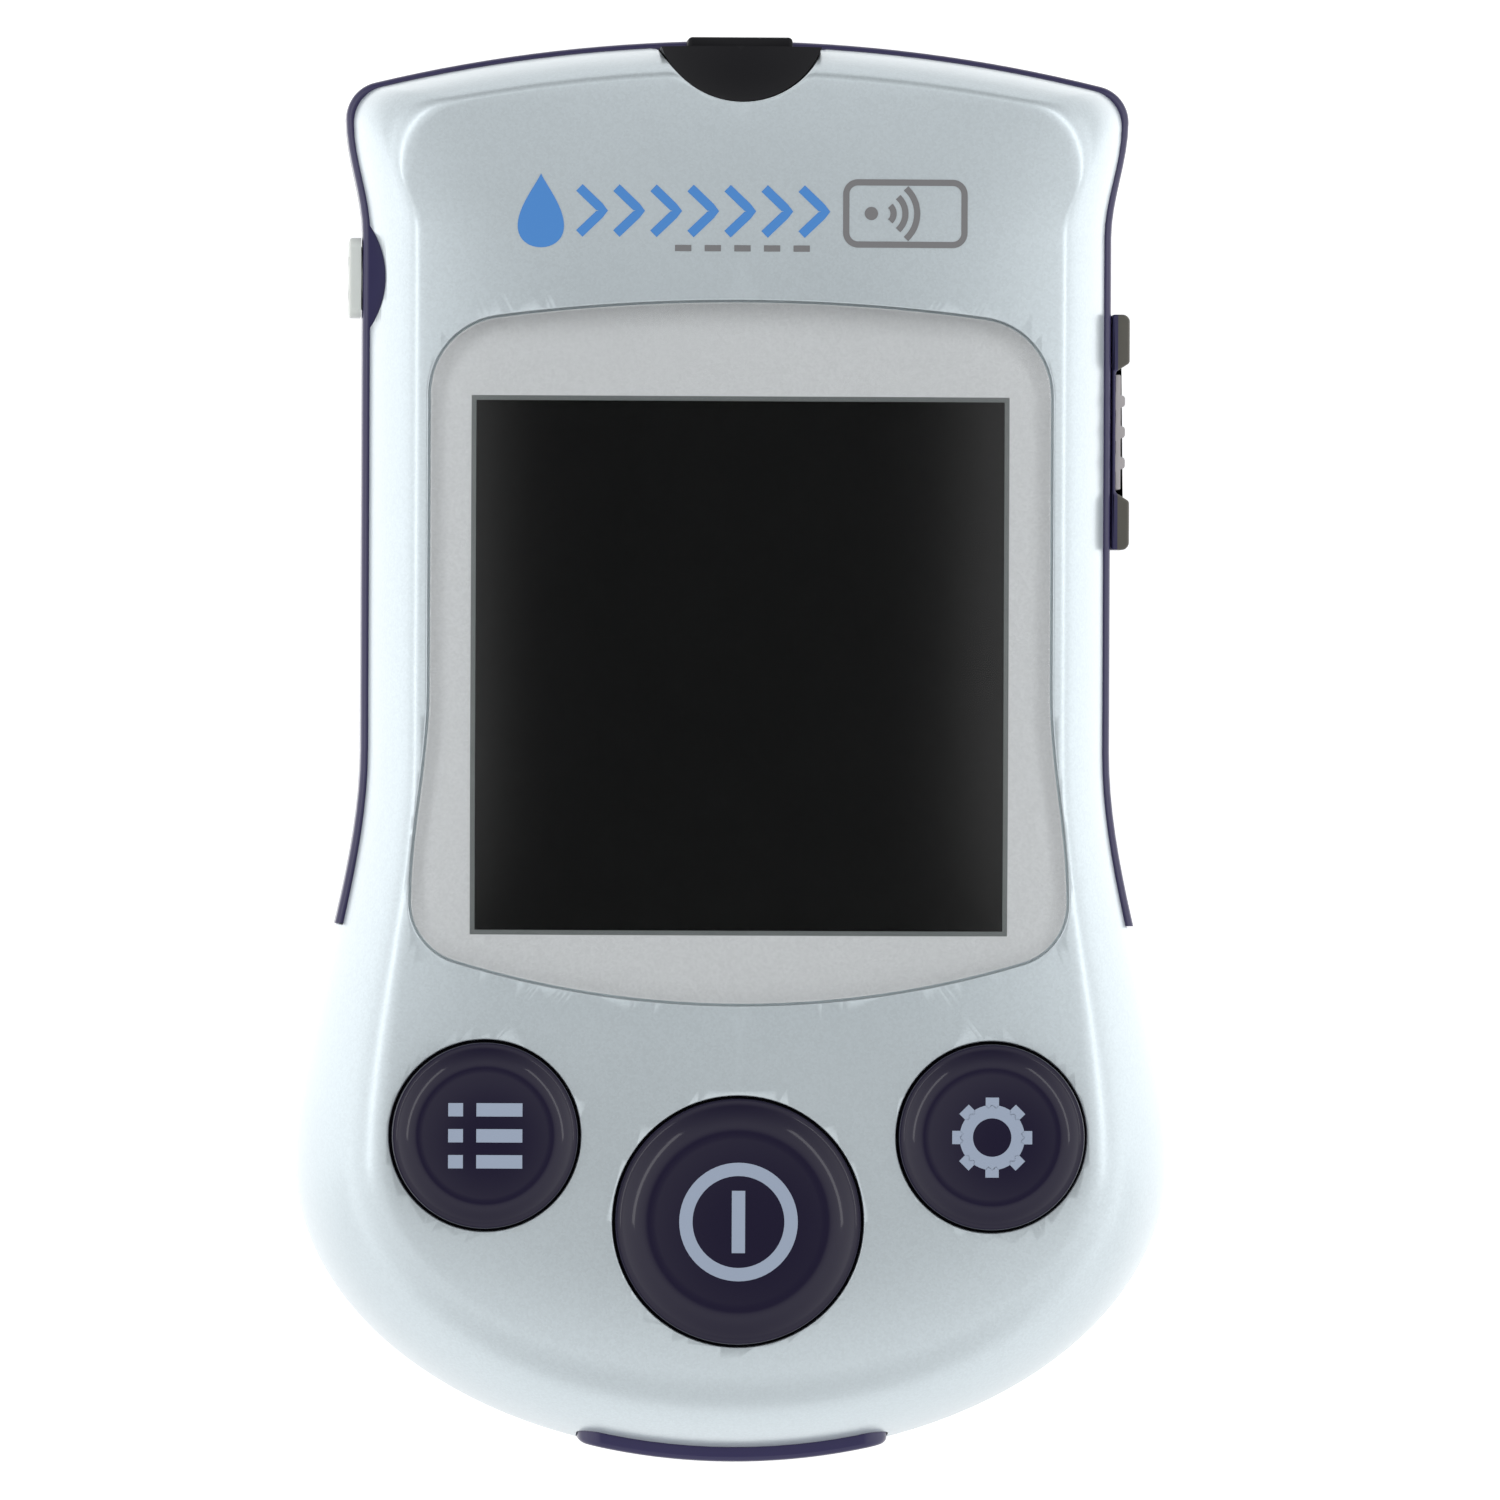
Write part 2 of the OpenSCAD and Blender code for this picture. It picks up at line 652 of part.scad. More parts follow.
// ---- buttons -------------------------------------------------------------
// A cap with a rounded shoulder and a dished top, its flange and its stem.
module button(place) {
    r = place[2];
    top = face_z + button_rise + face_crown / 2;
    translate([place[0], place[1], 0]) rotate_extrude($fn = 64) polygon(concat(
        [[0, actuator_top], [1.6, actuator_top], [1.6, flange_z]],
        [[r + flange_w, flange_z], [r + flange_w, flange_top], [r, flange_top]],
        arc_points(r - button_round, top - button_round, button_round, 0, 90, 5),
        [for (i = [0:4]) let (x = r * 0.72 * (1 - i / 4))
            [x, top - button_dish * (1 - pow(x / (r * 0.72), 2))]]
    ));
}
module memory_button() { color([0.13, 0.12, 0.26]) button(buttons[0]); }
module power_button() { color([0.13, 0.12, 0.26]) button(buttons[1]); }
module set_button() { color([0.13, 0.12, 0.26]) button(buttons[2]); }
module actuator(place) {
    rod(place[0], place[1], actuator_r, actuator_foot, actuator_top);
}
module memory_actuator() { color([0.2, 0.2, 0.2]) actuator(buttons[0]); }
module power_actuator() { color([0.2, 0.2, 0.2]) actuator(buttons[1]); }
module set_actuator() { color([0.2, 0.2, 0.2]) actuator(buttons[2]); }
module switch_bodies() {
    color([0.6, 0.6, 0.62]) for (b = buttons) difference() {
        box([b[0] - switch_w / 2, b[1] - switch_w / 2, pcb_top],
            [b[0] + switch_w / 2, b[1] + switch_w / 2, pcb_top + switch_h]);
        rod(b[0], b[1], actuator_r + 0.1, actuator_foot - button_travel - 0.15, face_z);
    }
}

// ---- electronics ---------------------------------------------------------
module main_pcb() {
    color([0.1, 0.35, 0.22]) difference() {
        plate(body_outline(inset(side_form, lip_inner + pcb_gap)), pcb_z, pcb_top);
        box([-body_len, pcb_top_y, 0], [body_len, body_len, face_z]);
        box([-body_len, -body_len, 0], [body_len, pcb_low_y, face_z]);
        // Room for the ejector's arm and its spring.
        box([arm_in_x - 0.3, spring_post_y - 1.6, 0],
            [body_len, stem_y + stem_len + eject_travel + 1, face_z]);
        for (p = screw_spots) rod(p[0], p[1], screw_hole_r + 0.1, 0, face_z);
    }
}
// Each chip is [x, part of the viewing area's height, width, length, height].
chips = [
    [-6, 0.42, 9, 9, 1.2], [7, 0.45, 5, 6, 1], [6, 0.73, 4, 5, 1.1], [-8, 0.79, 6, 4, 1],
    [9, 0.2, 3, 3, 0.8]
];
module circuit_chips() {
    color([0.1, 0.1, 0.11]) for (c = chips)
        translate([c[0], view_low_y + c[1] * view_h, pcb_top + c[4] / 2])
            cube([c[2], c[3], c[4]], center = true);
}
antenna_low_y = lens_top_y + 2;
antenna_high_y = scoop_y - scoop_r - 1.2;
antenna_half = 15.5;
module antenna_coil() {
    mid = (antenna_low_y + antenna_high_y) / 2;
    size = [2 * antenna_half, antenna_high_y - antenna_low_y];
    color([0.72, 0.42, 0.2]) {
        translate([0, mid, ceiling_z - 0.15]) linear_extrude(0.15) difference() {
            square(size, center = true);
            square([size[0] - 8, size[1] - 8], center = true);
        }
        for (k = [0:2]) translate([0, mid, ceiling_z - 0.25]) linear_extrude(0.1) difference() {
            square([size[0] - 0.6 - 2.2 * k, size[1] - 0.6 - 2.2 * k], center = true);
            square([size[0] - 1.8 - 2.2 * k, size[1] - 1.8 - 2.2 * k], center = true);
        }
    }
}
buzzer_r = 3.6;
buzzer_h = 2.4;
buzzer_y = -6;
module buzzer() {
    x = -wall_out_x - buzzer_r - 0.5;
    color([0.12, 0.12, 0.12]) difference() {
        rod(x, buzzer_y, buzzer_r, pcb_z - buzzer_h, pcb_z);
        rod(x, buzzer_y, buzzer_r / 6, pcb_z - buzzer_h - over, pcb_z - buzzer_h / 2);
    }
}

// ---- test strip port and ejector -----------------------------------------
port_end_y = top_y + port_proud;
// A dark cup fills the scoop, and the slotted block stands in it.
module strip_port() {
    cup_r = scoop_r - fit_gap;
    rim_z = face_z - 0.6;
    color([0.1, 0.1, 0.1]) difference() {
        union() {
            difference() {
                intersection() {
                    rod(0, scoop_y, cup_r, band_top + fit_gap, rim_z);
                    plate(body_outline(inset(side_form, 0.5)), parting_z, face_z);
                }
                // The dish that guides a strip in from above.
                translate([0, scoop_y + 1.4, slot_z + slot_h / 2 + 0.7 + dish_r])
                    sphere(r = dish_r, $fn = 48);
            }
            box([-port_w / 2, connector_end_y + fit_gap, band_top + fit_gap],
                [port_w / 2, port_end_y, slot_z + slot_h / 2 + 1.1]);
        }
        box([-slot_w / 2, connector_end_y - over, slot_z - slot_h / 2],
            [slot_w / 2, port_end_y + over, slot_z + slot_h / 2]);
        // The mouth is bevelled above and below the slot.
        translate([0, port_end_y, slot_z]) rotate([0, 90, 0])
            cylinder(r = slot_h / 2 + 0.45, h = slot_w, center = true);
    }
}
dish_r = 9.5;
module strip_connector() {
    color([0.86, 0.83, 0.74]) difference() {
        box([-slot_w / 2 - 1.2, connector_y, pcb_top],
            [slot_w / 2 + 1.2, connector_end_y, slot_z + slot_h / 2 + 1.3]);
        box([-slot_w / 2, connector_y - over, slot_z - slot_h / 2],
            [slot_w / 2, connector_end_y + over, slot_z + slot_h / 2]);
        for (x = contact_xs) box([x - 0.45, connector_y + 1.2, slot_z], [x + 0.45, connector_end_y - 1, face_z]);
    }
}
contact_xs = [-1.95, -0.65, 0.65, 1.95];
module strip_contacts() {
    color([0.85, 0.68, 0.32]) for (x = contact_xs) {
        box([x - 0.25, connector_y + 1.2, slot_z + slot_h / 2 + 0.6],
            [x + 0.25, connector_end_y - 1, slot_z + slot_h / 2 + 0.85]);
        box([x - 0.25, connector_y + 1.2, slot_z + slot_h / 2 + 0.05],
            [x + 0.25, connector_y + 1.5, slot_z + slot_h / 2 + 0.85]);
    }
}
module ejector_thumb() {
    low = band_mid - thumb_h / 2;
    top_x = side_x + thumb_rise;
    color([0.13, 0.12, 0.26]) {
        // Long plate with a raised, sloping block at each end.
        translate([0, 0, low]) linear_extrude(thumb_h) polygon([
            [thumb_x, thumb_y], [top_x - 0.3, thumb_y], [top_x, thumb_y + 0.3],
            [top_x, thumb_y + thumb_end - 0.6], [grip_x, thumb_y + thumb_end],
            [grip_x, thumb_y + thumb_len - thumb_end],
            [top_x, thumb_y + thumb_len - thumb_end + 0.6],
            [top_x, thumb_y + thumb_len - 0.3], [top_x - 0.3, thumb_y + thumb_len],
            [thumb_x, thumb_y + thumb_len]
        ]);
        box([arm_out_x, stem_y, band_mid - stem_h / 2],
            [thumb_x + 0.2, stem_y + stem_len, band_mid + stem_h / 2]);
    }
}
grip_x = side_x + 0.35;                      // outer face of the plate that carries the grip
grip_t = 0.35;
rib_pitch = 2.1;
rib_rise = 0.65;
module ejector_grip() {
    from = thumb_y + thumb_end + 0.2;
    to = thumb_y + thumb_len - thumb_end - 0.2;
    half_h = thumb_h / 2 - 0.2;
    color([0.5, 0.49, 0.5]) {
        box([grip_x, from, band_mid - half_h], [grip_x + grip_t, to, band_mid + half_h]);
        for (k = [-1:1]) translate([grip_x, (from + to) / 2 + k * rib_pitch, band_mid - half_h])
            linear_extrude(2 * half_h)
                polygon([[0, -0.6], [rib_rise, -0.3], [rib_rise, 0.3], [0, 0.6]]);
    }
}
module ejector_arm() {
    color([0.9, 0.9, 0.88]) {
        box([arm_in_x, stem_y, band_mid - stem_h / 2],
            [arm_out_x, stem_y + stem_len, arm_z + arm_h]);
        box([arm_in_x, stem_y, arm_z], [arm_out_x, cross_y + cross_w, arm_z + arm_h]);
        box([-1.6, cross_y, arm_z], [arm_out_x, cross_y + cross_w, arm_z + arm_h]);
        box([-1.5, cross_y, slot_z - slot_h / 2 + 0.1],
            [1.5, finger_tip_y, slot_z + slot_h / 2 - 0.1]);
    }
}
// A coil of round wire along +Y, with flat loops at its ends.
function coil_ring(r, wire, length, turns, k, steps) =
    let (t = k / steps, a = 360 * turns * t, y = wire + (length - 2 * wire) * t)
    [for (j = [0:5]) let (b = 60 * j, rr = r + wire * cos(b))
        [rr * cos(a), y + wire * sin(b), rr * sin(a)]];
module coil(r, wire, length, turns) {
    steps = 8 * turns;
    loft([for (k = [0:steps]) coil_ring(r, wire, length, turns, k, steps)]);
}
eject_coil_r = 0.6;
eject_wire = 0.15;
module ejector_spring() {
    color([0.75, 0.75, 0.78])
        translate([(arm_in_x + arm_out_x) / 2, spring_post_y, arm_z + arm_h / 2])
            coil(eject_coil_r, eject_wire, stem_y - spring_post_y, 9);
}

// ---- data port -----------------------------------------------------------
jack_face_x = -(side_x - lip_inner - 0.2);
jack_len = 9.5;
module data_jack() {
    color([0.1, 0.1, 0.11]) difference() {
        box([jack_face_x, jack_y - jack_half, jack_z - jack_drop],
            [jack_face_x + jack_len, jack_y + jack_half, pcb_z]);
        translate([jack_face_x - over, jack_y, jack_z]) rotate([0, 90, 0])
            cylinder(r = jack_r, h = jack_len - 1 + over);
    }
}
module data_port_cover() {
    x = -side_x - fit_gap;
    half = cover_len / 2;
    color([0.8, 0.82, 0.81]) difference() {
        union() {
            translate([x, jack_y, jack_z]) rotate([0, -90, 0]) linear_extrude(cover_rise - fit_gap)
                offset(r = 0.6) square([cover_len - 1.8, cover_len - 1.2], center = true);
            translate([x, jack_y, jack_z]) rotate([0, 90, 0]) {
                cylinder(r = half - 0.55, h = lip_inner);
                cylinder(r = 0.8, h = jack_face_x - x - 0.1);
            }
        }
        // Grip across the middle.
        for (s = [-1, 1]) box([x - cover_rise - over, jack_y + s * 1.15 - 0.3, jack_z - 1.4],
            [x - cover_rise + 0.45, jack_y + s * 1.15 + 0.3, jack_z + 1.4]);
    }
}

// ---- batteries -----------------------------------------------------------
module battery_door() {
    end_y = back_line[0][1] - 2.2;
    color([0.72, 0.75, 0.78]) difference() {
        union() {
            intersection() {
                lower_form();
                box([-door_w / 2, end_y, -over], [door_w / 2, door_top_y, floor_t]);
            }
            for (s = [-1, 1]) for (y = tongue_ys)
                box([min(s * (door_w / 2 - 1.2), s * (door_w / 2 + tongue_w)), y, floor_t - 0.1],
                    [max(s * (door_w / 2 - 1.2), s * (door_w / 2 + tongue_w)), y + tongue_len,
                        floor_t + tongue_h - slide_gap]);
            box([-4, door_top_y - 2, floor_t - 0.1],
                [4, door_top_y + comp_wall, floor_t + tongue_h - slide_gap]);
        }
        // Thumb grooves.
        for (k = [0:4]) box([-7, door_top_y - 5 - 1.8 * k, -over], [7, door_top_y - 4.1 - 1.8 * k, 0.5]);
    }
}
// One cell on the Y axis from y = 0, with its nub at the far end.
module cell() {
    rotate([-90, 0, 0]) {
        cylinder(r = cell_d / 2, h = cell_len - 1);
        cylinder(r = cell_nub_r, h = cell_len);
    }
}
cell_nub_r = 1.9;
cell_foot_y = comp_low_y + plate_t + spring_len + fit_gap;
cell_head_y = comp_top_y - plate_t - spring_len - fit_gap;
module battery_cells() {
    color([0.2, 0.25, 0.3]) {
        translate([-cell_x, cell_foot_y, cell_z]) cell();
        translate([cell_x, cell_head_y, cell_z]) mirror([0, 1, 0]) cell();
    }
}
module battery_springs() {
    color([0.8, 0.8, 0.82]) {
        translate([-cell_x, comp_low_y + plate_t, cell_z]) contact_coil();
        translate([cell_x, comp_top_y - plate_t, cell_z]) mirror([0, 1, 0]) contact_coil();
    }
}
contact_coil_r = 2.6;
contact_wire = 0.3;
module contact_coil() { coil(contact_coil_r, contact_wire, spring_len, 3); }
module battery_plates() {
    half = 4.2;
    color([0.8, 0.8, 0.82]) for (x = [-cell_x, cell_x]) {
        box([x - half, comp_low_y, cell_z - half], [x + half, comp_low_y + plate_t, cell_z + half]);
        box([x - half, comp_top_y - plate_t, cell_z - half], [x + half, comp_top_y, cell_z + half]);
    }
}

// ---- fasteners -----------------------------------------------------------
module housing_screws() {
    color([0.6, 0.6, 0.62]) for (p = screw_spots) difference() {
        union() {
            rod(p[0], p[1], screw_head_r, screw_seat_z - screw_head_h, screw_seat_z);
            rod(p[0], p[1], screw_r, screw_seat_z - 0.1, screw_tip_z);
        }
        for (a = [0, 90]) translate([p[0], p[1], screw_seat_z - screw_head_h]) rotate(a)
            cube([2.2, 0.5, 1.4], center = true);
    }
}

top_housing();
rear_housing();
side_band();
bottom_trim();
display_lens();
display_mask();
lcd_glass();
backlight();
lcd_holder();
zebra_connector();
memory_button();
power_button();
set_button();
memory_actuator();
power_actuator();
set_actuator();
switch_bodies();
main_pcb();
circuit_chips();
antenna_coil();
buzzer();
strip_port();
strip_connector();
strip_contacts();
ejector_thumb();
ejector_grip();
ejector_arm();
ejector_spring();
data_jack();
data_port_cover();
battery_door();
battery_cells();
battery_springs();
battery_plates();
housing_screws();
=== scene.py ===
import json
import math
import bmesh
import bpy
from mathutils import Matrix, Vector
from mathutils.bvhtree import BVHTree

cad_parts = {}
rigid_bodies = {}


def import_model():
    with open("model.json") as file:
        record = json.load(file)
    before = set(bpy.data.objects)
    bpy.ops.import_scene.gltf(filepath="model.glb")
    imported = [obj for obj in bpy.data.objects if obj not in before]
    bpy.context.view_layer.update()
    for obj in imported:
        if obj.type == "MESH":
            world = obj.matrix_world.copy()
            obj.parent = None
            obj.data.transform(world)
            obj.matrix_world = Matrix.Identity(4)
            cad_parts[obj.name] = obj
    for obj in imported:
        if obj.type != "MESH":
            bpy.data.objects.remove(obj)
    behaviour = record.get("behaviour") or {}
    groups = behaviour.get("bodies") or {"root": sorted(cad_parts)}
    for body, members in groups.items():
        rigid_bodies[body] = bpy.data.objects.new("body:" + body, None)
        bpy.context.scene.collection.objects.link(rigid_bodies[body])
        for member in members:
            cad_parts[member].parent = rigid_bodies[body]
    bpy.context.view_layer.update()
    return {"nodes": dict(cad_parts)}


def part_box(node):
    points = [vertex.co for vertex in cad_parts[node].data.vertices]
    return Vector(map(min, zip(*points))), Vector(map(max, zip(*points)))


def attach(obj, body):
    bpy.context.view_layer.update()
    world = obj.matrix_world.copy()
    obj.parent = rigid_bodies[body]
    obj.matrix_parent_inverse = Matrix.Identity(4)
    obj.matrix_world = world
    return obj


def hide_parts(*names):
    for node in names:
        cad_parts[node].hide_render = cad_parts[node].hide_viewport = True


for obj in list(bpy.data.objects):  # the start-up cube, lamp and camera
    bpy.data.objects.remove(obj, do_unlink=True)
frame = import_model()
mm = 0.001

# The meter lies on its back: +Z out of the display, +Y to the strip slot. Sizes below are in millimetres.
# A form is upper end, end radius, corner radius, ear, waist and hip half widths, lower end.
housing = dict(
    sideForm=(48.25, 104, 2.5, 26.6, 25.45, 29.9, -48.25),
    faceForm=(45.45, 101.2, 5, 22.75, 21.6, 23.8, -41.75),
    backForm=(43.85, 99.6, 5, 22.2, 21.05, 23.9, -41.25),
    ceilingForm=(44.22, 99.98, 5, 21.7, 21.25, 24.41, -42.36),
    waistTop=35, waistLow=0, hipY=-28,
    partingZ=10.5, faceZ=23.2, skin=1.6, floor=1.8, wall=1.75, lip=1.15, lipTop=15.2,
    crown=1.2, crownPower=4, crownHigh=0.6, crownHighPower=6, crownLow=0.35, crownMid=(0, 2.08),
    crownParts=(0.985, 0.965, 0.94, 0.91, 0.88, 0.84, 0.8, 0.75, 0.7, 0.64, 0.57, 0.49, 0.4, 0.3, 0.2, 0.1, 0.03),
    flankEnd=84, flankPower=0.95, slopeRun=0.25, leastSlope=0.02,
    bandTop=15.5, bandMid=13, bandProud=0.2, bandThick=1.6, bandEnd=-11.9, bandEdge=0.45,
    fit=0.1, slide=0.15, seam=0.16, weld=0.3, far=60, above=30,
)
sideX = housing["sideForm"][4]
lipInset = housing["bandProud"] + housing["wall"] + housing["fit"]
window = dict(
    width=42, lowWidth=44.4, top=30.3, low=-17.1, topR=125, lowR=66, cornerR=5.2, lowCornerR=4.2, spreadY=4,
    thick=1.3, ledge=1.6, ledgeT=1, air=0.06, foot=0.08, viewW=35.6, viewH=35.8, viewY=5.75, viewEdge=0.3,
    rim=0.12, lensRim=((0, 1), (0.12, 0.5), (0.4, 0.15), (1, 0)), inkT=0.02, edgeDeep=0.05,
    lensParts=(0.97, 0.92, 0.85, 0.76, 0.66, 0.55, 0.43, 0.3, 0.16, 0.03),
)
rims = dict(profile=((0, 1.1), (0.12, 0.6), (0.4, 0.2), (1.0, -0.12), (2.2, -0.7)), reach=2.4, above=4)
buttonsAt = dict(memory=(-17.1, -26, 6.275), power=(0, -31.75, 8.3), set=(17.1, -26, 6.275))
keys = dict(rise=1.8, gap=0.2, dish=0.3, dishPart=0.72, edgeR=0.3, rimDrop=0.11, holeRim=0.1,
            flangeW=0.8, flangeTop=21.5, flangeT=0.9, chamfer=0.1, foot=19.4, footEdge=0.2, stemR=1.6)
scoop = dict(radius=5.95, y=49.75, rim=0.15)
scallop = dict(radius=6.2, x=-30.1, y=32.05)
screws = dict(spots=((-19.3, 37.5), (19.3, 37.5), (-17.4, -35.8), (17.4, -35.8)), bossR=2.6, upperR=2.25,
              upperZ=16.1, holeR=0.98, tipZ=20.8, seatZ=5, headHole=2.15, shankHole=1.15, mouth=0.45)
trim = dict(length=21, height=7, corner=1.6, cutY=(-52, -40), edge=0.35, endEdge=0.25, endPower=8)
ejector = dict(y=13.8, length=16, height=4.2, rise=1.3, end=3.9, ramp=0.6, tip=0.3, edge=0.16, gripX=0.35,
               gripT=0.35, gripGap=0.2, gripEdge=0.06, ribRise=0.65, ribPitch=2.1, ribHalf=(0.6, 0.34, 0.2),
               stemLow=14.9, stemLen=6, stemH=1.8, stemIn=4.3, travel=5)
jack = dict(y=32.05, z=12.8, coverLen=5.4, rise=0.9, corner=0.7, plugIn=0.55, pinR=0.8,
            gripY=1.15, gripHalf=(0.3, 1.4), gripDeep=0.45)


# helpers for shapes
def pickOnly(*objs):
    bpy.ops.object.select_all(action="DESELECT")
    for obj in objs:
        obj.select_set(True)
    bpy.context.view_layer.objects.active = objs[0]


def modify(obj, kind, **values):
    modifier = obj.modifiers.new("change", kind)
    for key, value in values.items():
        setattr(modifier, key, value)
    pickOnly(obj)
    bpy.ops.object.modifier_apply(modifier=modifier.name)
    return obj


def smooth(obj, angle=35):
    pickOnly(obj)
    bpy.ops.object.shade_smooth_by_angle(angle=math.radians(angle))
    # large faces rule, so that cuts leave no streaks
    return modify(obj, "WEIGHTED_NORMAL", keep_sharp=True, weight=100)


def joinAll(name, objs):
    pickOnly(*objs)
    bpy.ops.object.join()
    objs[0].name = name
    return objs[0]


def cut(target, tools, operation="DIFFERENCE"):
    for tool in tools:
        modify(target, "BOOLEAN", operation=operation, solver="EXACT", object=tool)
        bpy.data.objects.remove(tool, do_unlink=True)
    return target


def bevelEdges(obj, width, segments=3, angle=40):
    return modify(obj, "BEVEL", width=width * mm, segments=segments, limit_method="ANGLE",
                  angle_limit=math.radians(angle), harden_normals=False)


def justAdded(name):
    # the shape that was added last, with its place and size put into its mesh
    bpy.ops.object.transform_apply(location=True, rotation=True, scale=True)
    bpy.context.active_object.name = name
    return bpy.context.active_object


def boxBetween(name, low, high):
    middle = [(a + b) / 2 * mm for a, b in zip(low, high)]
    size = [(b - a) * mm for a, b in zip(low, high)]
    bpy.ops.mesh.primitive_cube_add(size=1, location=middle, scale=size)
    return justAdded(name)


def rod(name, middle, radius, length, sides, turn=(0, 0, 0)):
    bpy.ops.mesh.primitive_cylinder_add(vertices=sides, radius=radius * mm, depth=length * mm,
                                        location=[v * mm for v in middle], rotation=turn)
    return justAdded(name)


def rodBetween(name, x, y, radius, z0, z1, sides=64):
    return rod(name, (x, y, (z0 + z1) / 2), radius, z1 - z0, sides)


def sideRod(name, x0, x1, y, z, radius):
    return rod(name, ((x0 + x1) / 2, y, z), radius, x1 - x0, 48, (0, math.pi / 2, 0))


def ringLoft(name, rings, closed=False, pole=False):
    # One circle is extruded again and again, and each new ring is laid on the next outline.
    count = len(rings[0])
    bpy.ops.mesh.primitive_circle_add(vertices=count, radius=mm)
    obj = bpy.context.active_object
    obj.name = name
    bpy.ops.object.mode_set(mode="EDIT")
    bpy.ops.mesh.select_mode(type="VERT")
    bpy.ops.mesh.select_all(action="SELECT")
    mesh = bmesh.from_edit_mesh(obj.data)
    place = {v.index: k for k, v in enumerate(mesh.verts)}
    for v in mesh.verts:
        v.co = Vector(rings[0][place[v.index]]) * mm
    for ring in rings[1:]:
        bpy.ops.mesh.extrude_region_move()
        mesh = bmesh.from_edit_mesh(obj.data)
        mesh.verts.index_update()
        newPlace = {}
        for v in mesh.verts:
            if v.select:
                old = next(e.other_vert(v) for e in v.link_edges if not e.other_vert(v).select)
                newPlace[v.index] = place[old.index]
                v.co = Vector(ring[place[old.index]]) * mm
        place = newPlace
    if pole:
        bpy.ops.mesh.merge(type="CENTER")
    elif not closed:
        bpy.ops.mesh.edge_face_add()
    if not closed:
        bpy.ops.mesh.select_all(action="DESELECT")
    mesh = bmesh.from_edit_mesh(obj.data)
    for v in list(mesh.verts)[:count]:  # the first ring
        v.select = True
    mesh.select_flush(True)
    if closed:
        bpy.ops.mesh.bridge_edge_loops()
    else:
        bpy.ops.mesh.edge_face_add()
    bpy.ops.mesh.select_all(action="SELECT")
    bpy.ops.mesh.normals_make_consistent(inside=False)
    bpy.ops.object.mode_set(mode="OBJECT")
    return obj


# helpers for outlines
def ease(t):
    t = min(max(t, 0), 1)
    return t * t * (3 - 2 * t)


def arcPoints(cx, cy, radius, start, end, count):
    angles = [math.radians(start + (end - start) * i / count) for i in range(count + 1)]
    return [(cx + radius * math.cos(a), cy + radius * math.sin(a)) for a in angles]


def circleLine(x, y, radius, count=96):
    return arcPoints(x, y, radius, 0, 360, count)[:-1]


def roundRectLine(cx, cy, halfW, halfH, r):
    line = []
    for sx, sy, start in ((1, 1, 0), (-1, 1, 90), (-1, -1, 180), (1, -1, 270)):
        line += arcPoints(cx + sx * (halfW - r), cy + sy * (halfH - r), r, start, start + 90, 8)
    return line


def straight(a, b, count=8):
    return [(a[0] + (b[0] - a[0]) * i / count, a[1] + (b[1] - a[1]) * i / count) for i in range(count + 1)]


def rectLine(y, halfW, halfH):
    corners = [(halfW, y + halfH), (-halfW, y + halfH), (-halfW, y - halfH), (halfW, y - halfH)]
    return [p for a, b in zip(corners, corners[1:] + corners[:1]) for p in straight(a, b, 6)[:-1]]


def dense(line, step=0.4):
    # the closed line with its long sides divided
    points = []
    for a, b in zip(line, line[1:] + line[:1]):
        points += straight(a, b, max(round(math.dist(a, b) / step), 1))[:-1]
    return points


def endPoints(top, arcR, cornerR, half, arcCount=16):
    tilt = math.degrees(math.asin((half - cornerR) / (arcR - cornerR)))
    cornerY = top - arcR + math.sqrt((arcR - cornerR) ** 2 - (half - cornerR) ** 2)
    bow = arcPoints(0, top - arcR, arcR, 90, 90 - tilt, arcCount)
    return bow + arcPoints(half - cornerR, cornerY, cornerR, 90 - tilt, 0, 12)[1:]


def sidePoints(x0, y0, x1, y1, count):
    steps = [i / count for i in range(1, count + 1)]
    return [(x0 + (x1 - x0) * ease(t), y0 + (y1 - y0) * t) for t in steps]


def mirrored(half):
    return half[::-1] + [(-x, y) for x, y in half[1:-1]]


def halfOutline(form):
    top, arcR, cornerR, ear, waist, hip, low = form
    upper = endPoints(top, arcR, cornerR, ear)
    waistTop, waistLow, hipY = housing["waistTop"], housing["waistLow"], housing["hipY"]
    quarter = [math.radians(90 * i / 32) for i in range(1, 33)]
    return (
        upper
        + sidePoints(ear, upper[-1][1], waist, waistTop, 8)
        + sidePoints(waist, waistTop, waist, waistLow, 14)
        + sidePoints(waist, waistLow, hip, hipY, 20)
        + [(hip * math.cos(a) if a < 1.57 else 0, hipY + (low - hipY) * math.sin(a)) for a in quarter]
    )


def outline(form):
    return mirrored(halfOutline(form))


def inset(form, d):
    top, arcR, cornerR, ear, waist, hip, low = form
    return (top - d, arcR - d, max(cornerR - d, 0.6), ear - d, waist - d, hip - d, low + d)


def insetOutline(d):
    return outline(inset(housing["sideForm"], d))


def windowOutline(d):
    w = window
    half, lowHalf, spreadY = w["width"] / 2 - d, w["lowWidth"] / 2 - d, w["spreadY"]
    upper = endPoints(w["top"] - d, w["topR"] - d, w["cornerR"] - d, half, 14)
    lower = endPoints(-w["low"] - d, w["lowR"] - d, w["lowCornerR"] - d, lowHalf, 14)
    sides = sidePoints(half, upper[-1][1], half, spreadY, 8)
    sides += sidePoints(half, spreadY, lowHalf, -lower[-1][1], 10)
    return mirrored(upper + sides + [(x, -y) for x, y in lower[-2::-1]])


def atHeight(points, z):
    return [(x, y, z) for x, y in points]


def laidOn(points, height, up=0):
    # the line on a surface, height(x, y)
    return [(x, y, height(x, y) + up) for x, y in points]


def shrunk(points, middle, part):
    return [(middle[0] + (x - middle[0]) * part, middle[1] + (y - middle[1]) * part) for x, y in points]


